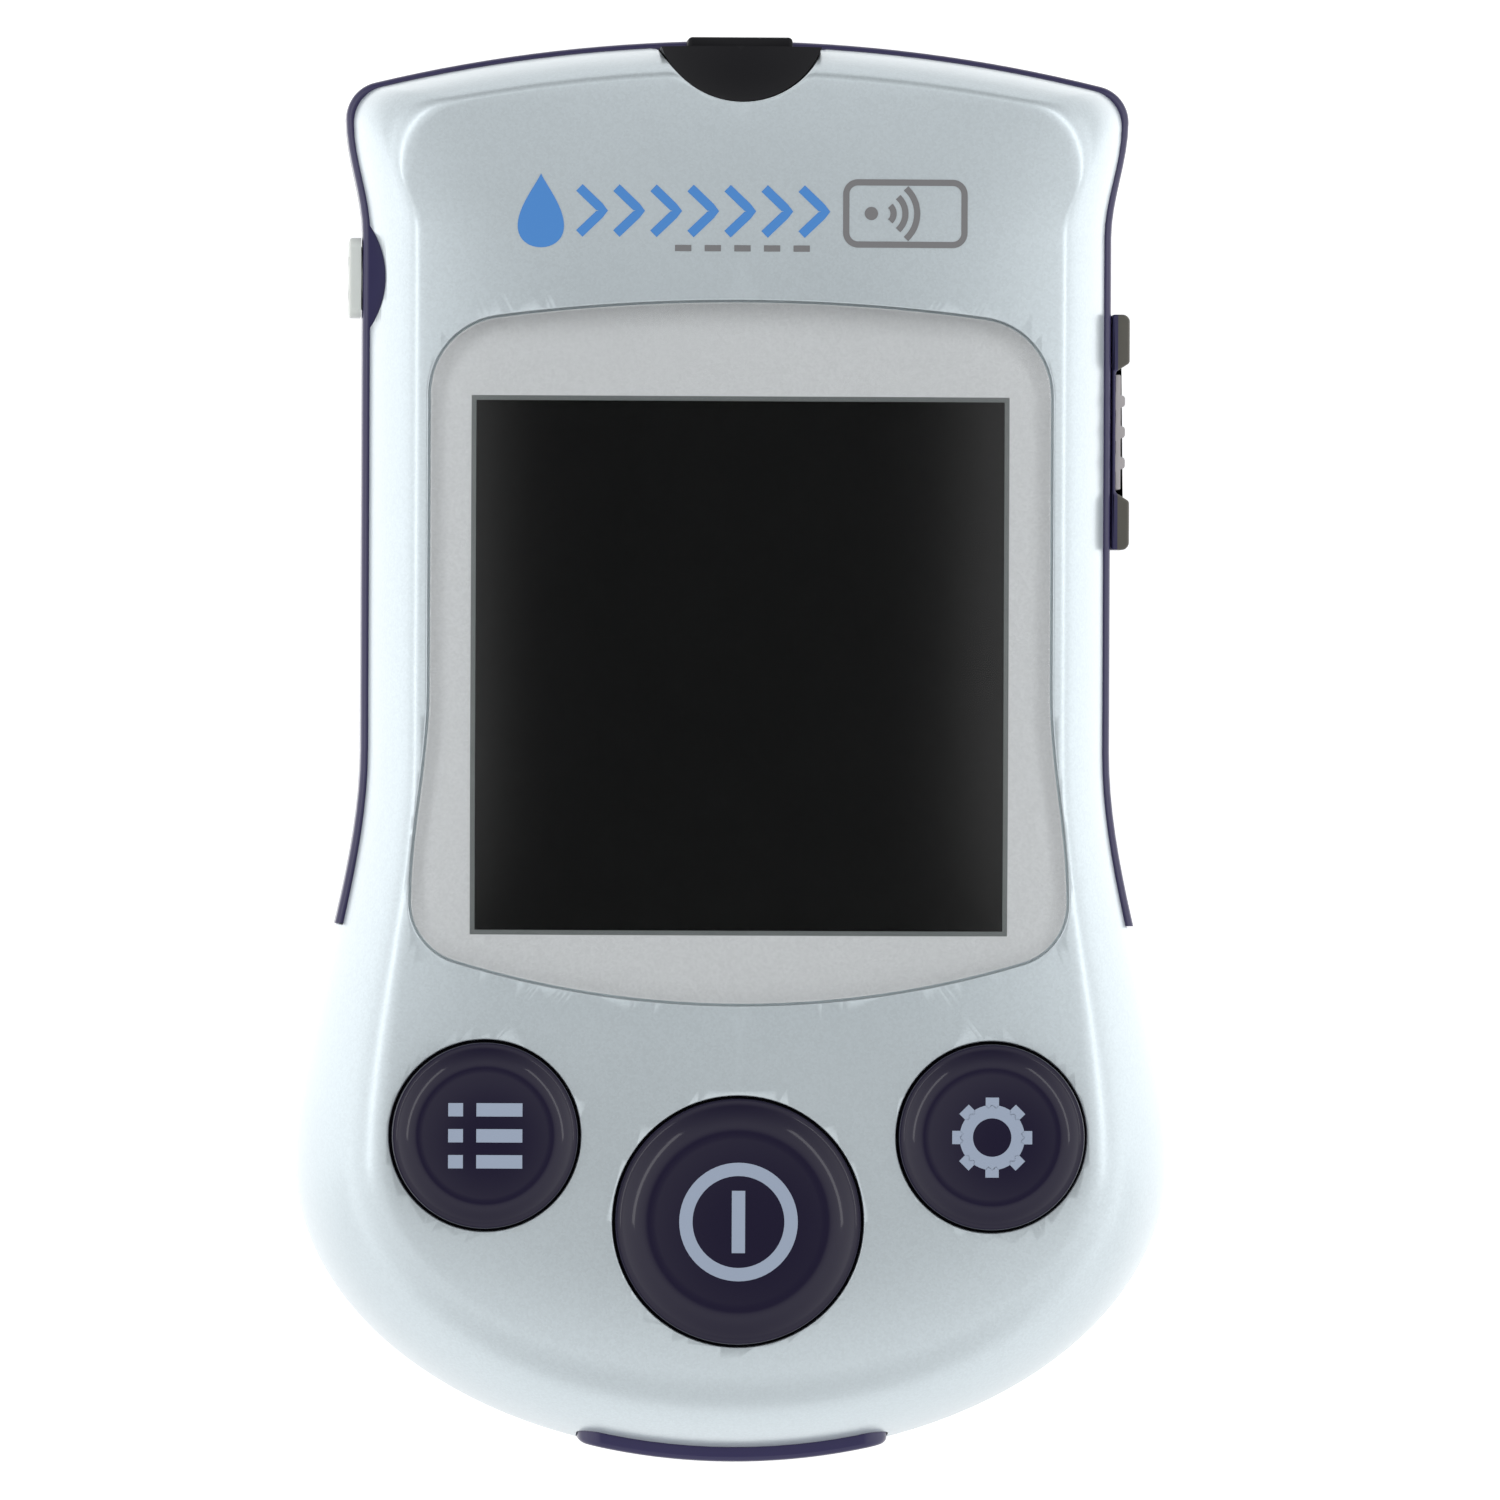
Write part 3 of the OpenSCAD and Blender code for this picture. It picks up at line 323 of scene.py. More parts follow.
def prism(name, line, low, high):
    return ringLoft(name, [atHeight(line, low), atHeight(line, high)])


def flatRing(name, outer, inner, low, high):
    rings = [atHeight(outer, low), atHeight(outer, high), atHeight(inner, high), atHeight(inner, low)]
    return ringLoft(name, rings, closed=True)


def sideways(path, closed=False):
    # at each point the direction to the right of the path
    directions = []
    for i, p in enumerate(path):
        before = path[i - 1] if i or closed else p
        after = path[(i + 1) % len(path)] if i < len(path) - 1 or closed else p
        run = Vector((after[0] - before[0], after[1] - before[1])).normalized()
        directions.append((run.y, -run.x))
    return directions


# outer skins of the two housings
sideLine = insetOutline(housing["bandProud"])
seamLine = insetOutline(housing["bandProud"] + housing["seam"])
faceLine = outline(housing["faceForm"])


def flank(wide, narrow, zWide, tops, steps, slopes=None):
    # A rounded flank from a wide outline up to a narrow one at the heights tops, which it meets at the slopes.
    power = housing["flankPower"]
    ends = [math.radians(housing["flankEnd"])] * len(narrow)
    for i, slope in enumerate(slopes or []):
        part = slope * math.dist(wide[i], narrow[i]) / ((tops[i] - zWide) * power)
        ends[i] = math.pi / 2 - part * (1 + part)
    rings = []
    for k in range(steps + 1):
        ring = []
        for (x, y), (u, v), top, end in zip(wide, narrow, tops, ends):
            a = end * k / steps
            t = (1 - math.cos(a)) / (1 - math.cos(end))
            rise = (math.sin(a) / math.sin(end)) ** power
            ring.append((x + (u - x) * t, y + (v - y) * t, zWide + (top - zWide) * rise))
        rings.append(ring)
    return rings


def sideHalf(form, y):
    # half width of a form's side at y
    top, arcR, cornerR, ear, waist, hip, low = form
    if y > 0:
        end, high, low = ear, endPoints(top, arcR, cornerR, ear)[-1][1], housing["waistTop"]
    else:
        end, high, low = hip, housing["hipY"], housing["waistLow"]
    return waist + (end - waist) * ease((y - low) / (high - low))


def crownTop(x, y):
    # the face bows over its width, and falls away round the lower end and a little towards the upper one
    h = housing
    form, hipY, midY = h["faceForm"], h["hipY"], h["crownMid"][1]
    out = abs(x) / sideHalf(form, y) if y > hipY else math.hypot(x / form[5], (y - hipY) / (form[6] - hipY))
    upper = 1 - h["crownHigh"] * max((y - midY) / (form[0] - midY), 0) ** h["crownHighPower"]
    lower = 1 - h["crownLow"] * ease(y / hipY)
    return h["faceZ"] + h["crown"] * max(1 - out ** h["crownPower"], 0) * upper * lower


def upperSkin(name):
    h = housing
    tops = [crownTop(x, y) for x, y in faceLine]
    slopes = []
    for (x, y), (a, b), top in zip(faceLine, sideways(faceLine, closed=True), tops):
        rise = crownTop(x - a * h["slopeRun"], y - b * h["slopeRun"]) - top
        slopes.append(max(rise / h["slopeRun"], h["leastSlope"]))
    rings = flank(sideLine, faceLine, h["partingZ"], tops, 26, slopes)
    rings[0] = atHeight(sideLine, h["partingZ"] + h["seam"])
    crown = [laidOn(shrunk(faceLine, h["crownMid"], part), crownTop) for part in h["crownParts"]]
    return ringLoft(name, [atHeight(seamLine, h["partingZ"])] + rings + crown, pole=True)


def lowerSkin(name):
    h = housing
    rings = flank(sideLine, outline(h["backForm"]), h["partingZ"], [0] * len(sideLine), 22)
    rings[0] = atHeight(sideLine, h["partingZ"] - h["seam"])
    return ringLoft(name, ([atHeight(seamLine, h["partingZ"])] + rings)[::-1])


topHousing = upperSkin("topHousing")
skinTree = BVHTree.FromObject(topHousing, bpy.context.evaluated_depsgraph_get())


def skinZ(x, y):
    hit = skinTree.ray_cast(Vector((x * mm, y * mm, 0.05)), Vector((0, 0, -1)))[0]
    return hit.z / mm if hit else housing["faceZ"]


# tools that cut more than one piece
def rimCutter(name, grown, zLow, rim):
    # A cutter that flares at the skin, for a rounded rim. grown(d) is its outline made larger by d.
    rings = [atHeight(grown(0), zLow)]
    rings += [laidOn(grown(out * rim), skinZ, -down * rim) for out, down in rims["profile"]]
    return ringLoft(name, rings + [atHeight(grown(rims["reach"] * rim), housing["faceZ"] + rims["above"])])


def roundHole(name, x, y, radius, zLow, rim):
    return rimCutter(name, lambda d: circleLine(x, y, radius + d), zLow, rim)


def trimTool(gap):
    # the round-cornered place of the trim in the lower end
    halfW, halfH = trim["length"] / 2 + gap, trim["height"] / 2 + gap
    line = roundRectLine(0, housing["bandMid"], halfW, halfH, trim["corner"] + gap)
    return ringLoft("trimTool", [[(x, y, z) for x, z in line] for y in trim["cutY"]])


def stemTool():
    gap, half, midZ = housing["slide"], ejector["stemH"] / 2 + housing["slide"], housing["bandMid"]
    end = ejector["stemLow"] + ejector["stemLen"] + ejector["travel"]
    return boxBetween("stemTool", (sideX - 5, ejector["stemLow"] - gap, midZ - half),
                      (sideX + 2, end + gap, midZ + half))


def coverTool():
    radius = jack["coverLen"] / 2 - jack["plugIn"] + housing["slide"]
    return sideRod("coverTool", -sideX - 2, -sideX + 5, jack["y"], jack["z"], radius)


# upper housing
def shapeTopHousing():
    h, w, s = housing, window, screws
    wide = insetOutline(h["bandProud"] + h["wall"])
    ceilingZ, lensZ = h["faceZ"] - h["skin"], h["faceZ"] - w["thick"]
    ledgeZ = lensZ - w["ledgeT"]
    hollow = flank(wide, outline(h["ceilingForm"]), h["bandTop"], [ceilingZ] * len(wide), 10)
    cut(topHousing, [ringLoft("hollow", [atHeight(wide, h["partingZ"] - 2)] + hollow)])
    added = [prism("ledge", windowOutline(-1), ledgeZ, ceilingZ + h["weld"])]
    added += [rodBetween("boss", x, y, s["upperR"], s["upperZ"], ceilingZ + h["weld"], 48) for x, y in s["spots"]]
    cut(topHousing, added, "UNION")
    tools = [
        boxBetween("bandRoom", (-h["far"], h["bandEnd"], h["partingZ"] - 2),
                   (h["far"], h["far"], h["bandTop"] + h["fit"])),
        rimCutter("lensPlace", lambda d: windowOutline(-h["fit"] - d), lensZ, w["rim"]),
        prism("lensOpening", windowOutline(w["ledge"]), ledgeZ - 1, lensZ + 1),
        roundHole("scoopTool", 0, scoop["y"], scoop["radius"], h["partingZ"] - 1, scoop["rim"]),
        trimTool(h["fit"]),
    ]
    for x, y, r in buttonsAt.values():
        tools.append(roundHole("keyHole", x, y, r + keys["gap"], ledgeZ - 2, keys["holeRim"]))
    edge = circleLine(scallop["x"], scallop["y"], scallop["radius"], 128)
    tools.append(prism("scallopTool", edge, h["partingZ"] - 1, h["above"]))
    tools += [rodBetween("screwHole", x, y, s["holeR"], s["upperZ"] - 1.1, s["tipZ"], 32) for x, y in s["spots"]]
    cut(topHousing, tools)
    smooth(topHousing)


shapeTopHousing()
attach(topHousing, "case")
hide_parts("top_housing")
print("upper housing:", len(topHousing.data.polygons), "faces")

# rear housing and battery door
door = dict(width=24, top=15, low=-43.45, travel=6, wall=1.2, roofZ=14.15, ceilingZ=12.95, boardZ=14.9,
            lowWall=-33.25, startZ=0.6, tongueLen=5, tongueW=0.9, tongueH=0.8, tongueIn=1.2, tongues=(-23.25, 6), latchHalf=4,
            grooves=5, groovePitch=1.8, grooveHalf=7, grooveTop=10.45, grooveZ=-0.35, grooveR=0.85, edge=0.14,
            restX=8, restIn=6, restR=1.2, ribHalf=0.4, ribIn=8.9, ribDeep=2.2, ledgeT=1.4)
springPost = ((19.45, 4.2, housing["bandMid"]), (22.45, 5.4, 18.2))


def tongueBoxes(name, near, far, travel, gap, low, high):
    # one box for each of the door's tongues, on both sides
    boxes = []
    for side in (-1, 1):
        for y in door["tongues"]:
            x0, x1 = sorted((side * near, side * far))
            boxes.append(boxBetween(name, (x0, y - travel - gap, low), (x1, y + door["tongueLen"] + gap, high)))
    return boxes


def shapeRearHousing():
    h, d, s = housing, door, screws
    floor, slide, lowWall, wall = h["floor"], h["slide"], d["lowWall"], d["wall"]
    wallX, topY, latchX = d["width"] / 2 + slide, d["top"] + slide, d["latchHalf"] + slide
    shell = lowerSkin("rearHousing")
    wide = insetOutline(lipInset + h["lip"])
    narrow = outline(inset(h["backForm"], h["wall"] * 0.6))
    hollow = flank(wide, narrow, h["partingZ"] - 1, [floor] * len(wide), 10)[::-1]
    cut(shell, [ringLoft("hollow", hollow + [atHeight(wide, h["partingZ"] + 2)])])
    lip = prism("lip", insetOutline(lipInset), h["partingZ"] - 1, h["lipTop"])
    cut(lip, [prism("lipInside", wide, h["partingZ"] - 2, h["bandTop"] + 1)])
    ledge = lowerSkin("ledge")  # closes the space over the door's lower end
    cut(ledge, [boxBetween("ledgeBlock", (-wallX - wall, -h["far"], floor + slide),
                           (wallX + wall, lowWall, floor + d["ledgeT"]))], "INTERSECT")
    compartment = boxBetween("compartment", (-wallX - wall, lowWall - wall, d["startZ"]),
                             (wallX + wall, topY + wall, d["roofZ"]))
    added = [lip, compartment, ledge, boxBetween("springPost", *springPost)]
    added += [rodBetween("boss", x, y, s["bossR"], floor - h["weld"], d["boardZ"], 48) for x, y in s["spots"]]
    for x in (-d["restX"], d["restX"]):
        for y in (lowWall + d["restIn"], topY - d["restIn"]):
            added.append(rodBetween("rest", x, y, d["restR"], d["roofZ"] - 0.2, d["boardZ"], 32))
    cut(shell, added, "UNION")
    slotZ = floor + d["tongueH"] + slide
    tools = [
        boxBetween("cells", (-wallX, lowWall, 0.2), (wallX, topY, d["ceilingZ"])),
        boxBetween("doorway", (-wallX, -h["far"], -1), (wallX, topY, floor + slide)),
        boxBetween("latch", (-latchX, topY - 1, floor - slide), (latchX, topY + wall + 1, slotZ)),
        stemTool(), coverTool(), trimTool(h["fit"]),
    ]
    tools += tongueBoxes("tongueWay", wallX - 0.2, wallX + d["tongueW"] + slide, d["travel"], slide,
                         floor - slide, slotZ)
    for x, y in s["spots"]:
        profile = ((s["headHole"] + s["mouth"], -0.2), (s["headHole"], 0.25), (s["headHole"], s["seatZ"]))
        tools.append(ringLoft("counterbore", [atHeight(circleLine(x, y, r, 64), z) for r, z in profile]))
        tools.append(rodBetween("shankHole", x, y, s["shankHole"], 0, 16, 32))
    cut(shell, tools)
    rib = boxBetween("rib", (-d["ribHalf"], lowWall + d["ribIn"], d["ceilingZ"] - d["ribDeep"]),
                     (d["ribHalf"], topY - d["ribIn"], d["ceilingZ"] + 0.2))
    return smooth(cut(shell, [rib], "UNION"))


def shapeDoor():
    h, d = housing, door
    plate = lowerSkin("batteryDoor")
    half = d["width"] / 2
    cut(plate, [boxBetween("doorBlock", (-half, d["low"], -1), (half, d["top"], h["floor"]))], "INTERSECT")
    bevelEdges(plate, d["edge"], 2, 50)
    rows = [d["grooveTop"] - d["groovePitch"] * k for k in range(d["grooves"])]
    cut(plate, [sideRod("groove", -d["grooveHalf"], d["grooveHalf"], y, d["grooveZ"], d["grooveR"]) for y in rows])
    low, high = h["floor"] - 0.1, h["floor"] + d["tongueH"] - h["slide"]
    cut(plate, tongueBoxes("tongue", half - d["tongueIn"], half + d["tongueW"], 0, 0, low, high), "UNION")
    latch = boxBetween("latch", (-d["latchHalf"], d["top"] - 2, low), (d["latchHalf"], d["top"] + d["wall"], high))
    return smooth(cut(plate, [latch], "UNION"))


rearHousing = shapeRearHousing()
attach(rearHousing, "case")
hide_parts("rear_housing")
print("rear housing:", len(rearHousing.data.polygons), "faces")

batteryDoor = shapeDoor()
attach(batteryDoor, "door")
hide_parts("battery_door")
print("battery door done")


# dark side band and trim
def halfSweep(fromY):
    # the right half from fromY up to the crown, then the left half back down
    edge = halfOutline(housing["sideForm"])
    a, b = next((a, b) for a, b in zip(edge, edge[1:]) if a[1] >= fromY >= b[1])
    start = (a[0] + (b[0] - a[0]) * (fromY - a[1]) / (b[1] - a[1]), fromY)
    right = [start] + [p for p in edge if p[1] > fromY + 0.05][::-1]
    return right + [(-x, y) for x, y in right[-2::-1]]


def roundedSection(inner, low, high, r, steps=4):
    # (out, up) pairs of a strip with its two outer edges rounded
    top = arcPoints(-r, high - r, r, 90, 0, steps)
    return [(-inner, high)] + top + arcPoints(-r, low + r, r, 0, -90, steps) + [(-inner, low)]


def shapeBand():
    h = housing
    section = roundedSection(h["bandThick"], h["partingZ"] + h["fit"] / 2, h["bandTop"], h["bandEdge"], 6)
    path = halfSweep(h["bandEnd"] - 2)
    rings = [[(x + a * out, y + b * out, up) for out, up in section]
             for (x, y), (a, b) in zip(path, sideways(path))]
    below = boxBetween("below", (-h["far"], -h["far"], 0), (h["far"], h["bandEnd"] + h["fit"], h["above"]))
    return smooth(cut(ringLoft("sideBand", rings), [below, stemTool(), coverTool()]))


def shapeTrim():
    h, t = housing, trim
    flat, tall, r = t["length"] / 2 - t["corner"], t["height"] / 2, t["corner"]
    hip, hipY, low = h["sideForm"][5], h["hipY"], h["sideForm"][6]
    corner = [flat + r * math.sin(math.radians(9 * i)) for i in range(1, 11)]
    rings = []
    for x in corner[::-1] + [flat * i / 16 for i in range(16, -17, -1)] + [-x for x in corner]:
        y = hipY + (low - hipY) * math.sqrt(1 - (x / hip) ** 2)
        beyond = max(abs(x) - flat, 0)
        high = tall - r + math.sqrt(max(r * r - beyond * beyond, 0))
        back = t["endEdge"] * (beyond / r) ** t["endPower"]  # the end edges are rounded too
        shape = roundedSection(h["bandThick"], h["bandMid"] - high, h["bandMid"] + high, t["edge"])
        backs = [0] + [back] * (len(shape) - 2) + [0]
        rings.append([(x, y - out + away, up) for (out, up), away in zip(shape, backs)])
    return smooth(ringLoft("bottomTrim", rings))


sideBand = shapeBand()
bottomTrim = shapeTrim()
for piece, node in ((sideBand, "side_band"), (bottomTrim, "bottom_trim")):
    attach(piece, "case")
    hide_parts(node)
print("band and trim done")


# window lens, with the silver print under it and the display's border
def shapeLens():
    h, w = housing, window
    gap, rim, lowZ = h["fit"] / 2, w["rim"], h["faceZ"] - w["thick"] + w["air"]  # the print lies just under it
    rings = [atHeight(windowOutline(gap + w["foot"]), lowZ), atHeight(windowOutline(gap), lowZ + w["foot"])]
    rings += [laidOn(windowOutline(gap + back * rim), skinZ, -down * rim) for back, down in w["lensRim"]]
    middle = (0, (w["top"] + w["low"]) / 2)
    rings += [laidOn(shrunk(windowOutline(gap + rim), middle, part), skinZ) for part in w["lensParts"]]
    return smooth(ringLoft("windowLens", rings, pole=True), 50)


def shapePrint(low):
    # from the viewing area out to the lens's edge
    w = window
    halfW, halfH, midY = w["viewW"] / 2, w["viewH"] / 2, w["viewY"]
    outer = windowOutline(housing["fit"] / 2 + 0.1)
    inner = []
    for x, y in outer:
        k = min(halfW / max(abs(x), 1e-6), halfH / max(abs(y - midY), 1e-6))
        inner.append((x * k, midY + (y - midY) * k))
    for cx, cy in ((1, 1), (-1, 1), (-1, -1), (1, -1)):  # the point nearest each corner goes into it
        corner = (cx * halfW, midY + cy * halfH)
        inner[min(range(len(inner)), key=lambda i: math.dist(inner[i], corner))] = corner
    return flatRing("lensPrint", outer, inner, low, low + w["inkT"])


def shapeViewEdge(high):
    w = window
    outer = rectLine(w["viewY"], w["viewW"] / 2 + w["viewEdge"], w["viewH"] / 2 + w["viewEdge"])
    inner = rectLine(w["viewY"], w["viewW"] / 2 - w["inkT"], w["viewH"] / 2 - w["inkT"])
    return flatRing("viewEdge", outer, inner, high - w["edgeDeep"] - w["inkT"], high)


windowLens = shapeLens()
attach(windowLens, "case")
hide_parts("display_lens")
underLens = housing["faceZ"] - window["thick"]
lensPrint = shapePrint(underLens + window["inkT"] / 2)
viewEdge = shapeViewEdge(underLens + window["inkT"] * 2)
for piece in (lensPrint, viewEdge):
    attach(piece, "case")
print("window done")

# buttons
ink = dict(thick=0.03, sink=0.05, parts=(0.8, 0.6, 0.4, 0.2, 0.04))
legends = dict(line=0.9, ringR=3.55, bar=4.2, listStep=1.75, listLine=(-0.6, 2.5), listDot=(-2.5, -1.5),
               gearR=1.75, gearTooth=(1.95, 2.7), teeth=8)


def dishZ(r, radius):
    edge = radius * keys["dishPart"]
    return housing["faceZ"] + keys["rise"] - keys["dish"] * max(1 - (r / edge) ** 2, 0)


def shapeButton(name, x, y, radius):
    k = keys
    edge, top = radius * k["dishPart"], housing["faceZ"] + k["rise"]
    drop, wide = radius * k["rimDrop"], radius - edge - k["edgeR"]
    lean = math.atan(2 * drop / wide)  # the rim's slope where the small edge begins
    low, high, flangeR, c = k["flangeTop"] - k["flangeT"], k["flangeTop"], radius + k["flangeW"], k["chamfer"]
    profile = [(k["stemR"] - k["footEdge"], k["foot"]), (k["stemR"], k["foot"] + k["footEdge"]), (k["stemR"], low)]
    profile += [(flangeR - c, low), (flangeR, low + c), (flangeR, high - c), (flangeR - c, high), (radius, high)]
    edgeZ = top - drop - k["edgeR"] * math.cos(lean) + 0.02
    profile += arcPoints(radius - k["edgeR"], edgeZ, k["edgeR"], 0, 90 - math.degrees(lean), 6)[:-1]
    profile += [(edge + wide * u, top - drop * u * u) for u in [1 - i / 10 for i in range(10)]]
    profile += [(r, dishZ(r, radius)) for r in [edge * (1 - i / 14) for i in range(14)] + [0.05]]
    return smooth(ringLoft(name, [atHeight(circleLine(x, y, r), z) for r, z in profile], pole=True), 40)


def stroke(name, path, width, height, closed=False, thick=ink["thick"]):
    # a printed line that follows the surface under it, height(x, y)
    rings, half, low = [], width / 2, -ink["sink"]
    for (x, y), (a, b) in zip(path, sideways(path, closed)):
        section = ((-half, low), (-half, thick), (0, thick), (half, thick), (half, low))
        rings.append([laidOn([(x + a * out, y + b * out)], height, up)[0] for out, up in section])
    return ringLoft(name, rings, closed=closed)


def patch(name, line, middle, height):
    # a printed area that follows the surface under it
    rings = [laidOn(line, height, -ink["sink"]), laidOn(line, height, ink["thick"])]
    rings += [laidOn(shrunk(line, middle, part), height, ink["thick"]) for part in ink["parts"]]
    return ringLoft(name, rings, pole=True)


# a sign gives its closed lines and its open ones
def powerSign(x, y):
    half = legends["bar"] / 2
    return [circleLine(x, y, legends["ringR"], 64)], [straight((x, y - half), (x, y + half), 12)]


def listSign(x, y):
    lines = []
    for rowY in [y + legends["listStep"] * row for row in (-1, 0, 1)]:
        for (start, end), count in ((legends["listLine"], 10), (legends["listDot"], 4)):
            lines.append(straight((x + start, rowY), (x + end, rowY), count))
    return [], lines


def gearSign(x, y):
    lines = []
    for k in range(legends["teeth"]):
        a = 2 * math.pi * k / legends["teeth"]
        near, far = [(x + r * math.cos(a), y + r * math.sin(a)) for r in legends["gearTooth"]]
        lines.append(straight(near, far, 3))
    return [circleLine(x, y, legends["gearR"], 48)], lines


def shapeLegend(name, sign, x, y, radius):
    closedLines, openLines = sign(x, y)
    lines = [(line, True) for line in closedLines] + [(line, False) for line in openLines]
    return joinAll(name, [
        stroke("sign", line, legends["line"], lambda px, py: dishZ(math.hypot(px - x, py - y), radius), closed)
        for line, closed in lines
    ])


signs = dict(memory=listSign, power=powerSign, set=gearSign)
buttonPieces, legendPieces = {}, {}
for key, place in buttonsAt.items():
    button = shapeButton(key + "Button", *place)
    legend = shapeLegend(key + "Legend", signs[key], *place)
    for piece in (button, legend):
        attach(piece, key + "_key")
    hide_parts(key + "_button")
    buttonPieces[key], legendPieces[key] = button, legend
print("buttons done")

# test strip port
port = dict(width=7.1, proud=0.1, slotW=6.2, slotH=1, slotZ=17.6, roof=1.1, mouth=0.45, edge=0.3, limit=0.5,
            dishR=9.5, dishY=1.4, dishUp=0.7, rimZ=22.6, innerY=41.1,
            chevron=0.34, chevronHalf=1.5, chevronBack=1.3, chevronRise=0.16, tips=(43.9, 45.4))


def shapePort():
    h, p = housing, port
    half, slotHalf, baseZ = p["width"] / 2, p["slotW"] / 2, h["bandTop"] + h["fit"]
    endY, slotTop, slotLow = h["sideForm"][0] + p["proud"], p["slotZ"] + p["slotH"] / 2, p["slotZ"] - p["slotH"] / 2
    cup = rodBetween("stripPort", 0, scoop["y"], scoop["radius"] - h["fit"], baseZ, p["rimZ"], 128)
    cut(cup, [prism("limit", insetOutline(p["limit"]), h["partingZ"], h["above"])], "INTERSECT")
    bpy.ops.mesh.primitive_uv_sphere_add(
        segments=128, ring_count=96, radius=p["dishR"] * mm,
        location=(0, (scoop["y"] + p["dishY"]) * mm, (slotTop + p["dishUp"] + p["dishR"]) * mm),
    )
    cut(cup, [justAdded("dish")])
    blockTop = slotTop + p["roof"]
    block = boxBetween("block", (-half, p["innerY"], baseZ), (half, endY, blockTop))
    cut(cup, [bevelEdges(block, p["edge"], 4)], "UNION")
    for tipY in p["tips"]:  # raised chevrons that point the strip's way in
        legs = [straight((side * p["chevronHalf"], tipY + p["chevronBack"]), (0, tipY), 6) for side in (-1, 1)]
        for leg in legs:
            mark = stroke("mark", leg, p["chevron"], lambda x, y: blockTop, thick=p["chevronRise"])
            cut(cup, [mark], "UNION")
    slot = boxBetween("slot", (-slotHalf, p["innerY"] - 1.1, slotLow), (slotHalf, endY + 2, slotTop))
    mouth = sideRod("mouth", -slotHalf, slotHalf, endY, p["slotZ"], p["slotH"] / 2 + p["mouth"])
    return smooth(cut(cup, [slot, mouth]))


stripPort = shapePort()
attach(stripPort, "case")
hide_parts("strip_port")
print("strip port done")


# ejector slider
def shapeThumb():
    h, e = housing, ejector
    midZ, half, stemHalf = h["bandMid"], e["height"] / 2, e["stemH"] / 2
    x0, base, top, tip = sideX + h["fit"], sideX + e["gripX"], sideX + e["rise"], e["tip"]
    y0, y1, rampEnd = e["y"], e["y"] + e["length"], e["end"] - e["ramp"]
    line = [
        (x0, y0), (top - tip, y0), (top, y0 + tip), (top, y0 + rampEnd), (base, y0 + e["end"]),
        (base, y1 - e["end"]), (top, y1 - rampEnd), (top, y1 - tip), (top - tip, y1), (x0, y1),
    ]
    thumb = bevelEdges(prism("ejectorThumb", line, midZ - half, midZ + half), e["edge"], 3, 30)
    stem = boxBetween("stem", (sideX - e["stemIn"], e["stemLow"], midZ - stemHalf),
                      (x0 + 0.2, e["stemLow"] + e["stemLen"], midZ + stemHalf))
    return smooth(cut(thumb, [stem], "UNION"))


def shapeGrip():
    e, midZ = ejector, housing["bandMid"]
    x, top = sideX + e["gripX"], sideX + e["gripX"] + e["ribRise"]
    start, end = e["y"] + e["end"] + e["gripGap"], e["y"] + e["length"] - e["end"] - e["gripGap"]
    half = e["height"] / 2 - e["gripGap"]
    pad = boxBetween("ejectorGrip", (x, start, midZ - half), (x + e["gripT"], end, midZ + half))
    bevelEdges(pad, e["gripEdge"], 2)
    foot, shoulder, flat = e["ribHalf"]
    section = [(x, -foot), (top - e["gripEdge"], -shoulder), (top, -flat)]
    section += [(out, -along) for out, along in section[::-1]]
    for middle in [(start + end) / 2 + e["ribPitch"] * k for k in (-1, 0, 1)]:
        line = [(out, middle + along) for out, along in section]
        cut(pad, [prism("rib", line, midZ - half, midZ + half)], "UNION")
    return smooth(pad)


ejectorThumb = shapeThumb()
ejectorGrip = shapeGrip()
for piece, node, slot in (
    (ejectorThumb, "ejector_thumb", "key_navy"),
    (ejectorGrip, "ejector_grip", "grip_grey"),
):
    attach(piece, "ejector")
    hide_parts(node)


# data port cover
def shapeCover():
    h, j = housing, jack
    x, y, z, rise = -sideX - h["fit"], j["y"], j["z"], j["rise"] - h["fit"]
    halfY, halfZ = j["coverLen"] / 2, j["coverLen"] / 2 - 0.3
    line = roundRectLine(0, 0, halfY, halfZ, j["corner"])
    rings = []
    for out, less in ((0, 0), (rise - 0.2, 0), (rise - 0.06, 0.06), (rise, 0.22)):  # the outer edge is rounded
        rings.append([(x - out, y + a * (1 - less / halfY), z + b * (1 - less / halfZ)) for a, b in line])
    cap = ringLoft("dataCover", rings)
    plugX = x + lipInset + h["lip"]
    cut(cap, [sideRod("plug", x - 0.1, plugX, y, z, halfY - j["plugIn"]),
              sideRod("pin", x - 0.1, plugX + 0.3, y, z, j["pinR"])], "UNION")
    gripW, gripH = j["gripHalf"]
    for gripY in (y - j["gripY"], y + j["gripY"]):
        cut(cap, [boxBetween("grip", (x - 2, gripY - gripW, z - gripH),
                             (x - j["rise"] + j["gripDeep"], gripY + gripW, z + gripH))])
    return smooth(cap)


dataCover = shapeCover()
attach(dataCover, "port_cover")
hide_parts("data_port_cover")
print("slider and port cover done")

# printed marks on the face
marks = dict(y=36.4, dropX=-13.6, drop=(1.75, 2.5), dropLow=0.6, dropPower=1.4, dropWide=1.25,
             count=7, firstX=-10.2, stepX=2.5, chevron=(0.81, 1.5525), line=0.62, thin=0.42,
             dashes=(-4, -2, 0, 2, 4), dashY=33.9, dashHalf=0.55, badge=(11.0, 36.3, 4.0, 2.1, 0.8),
             waveX=-1.5, waves=(0.7, 1.5, 2.3), waveHalf=48, sourceX=-2.3, sourceR=0.45)


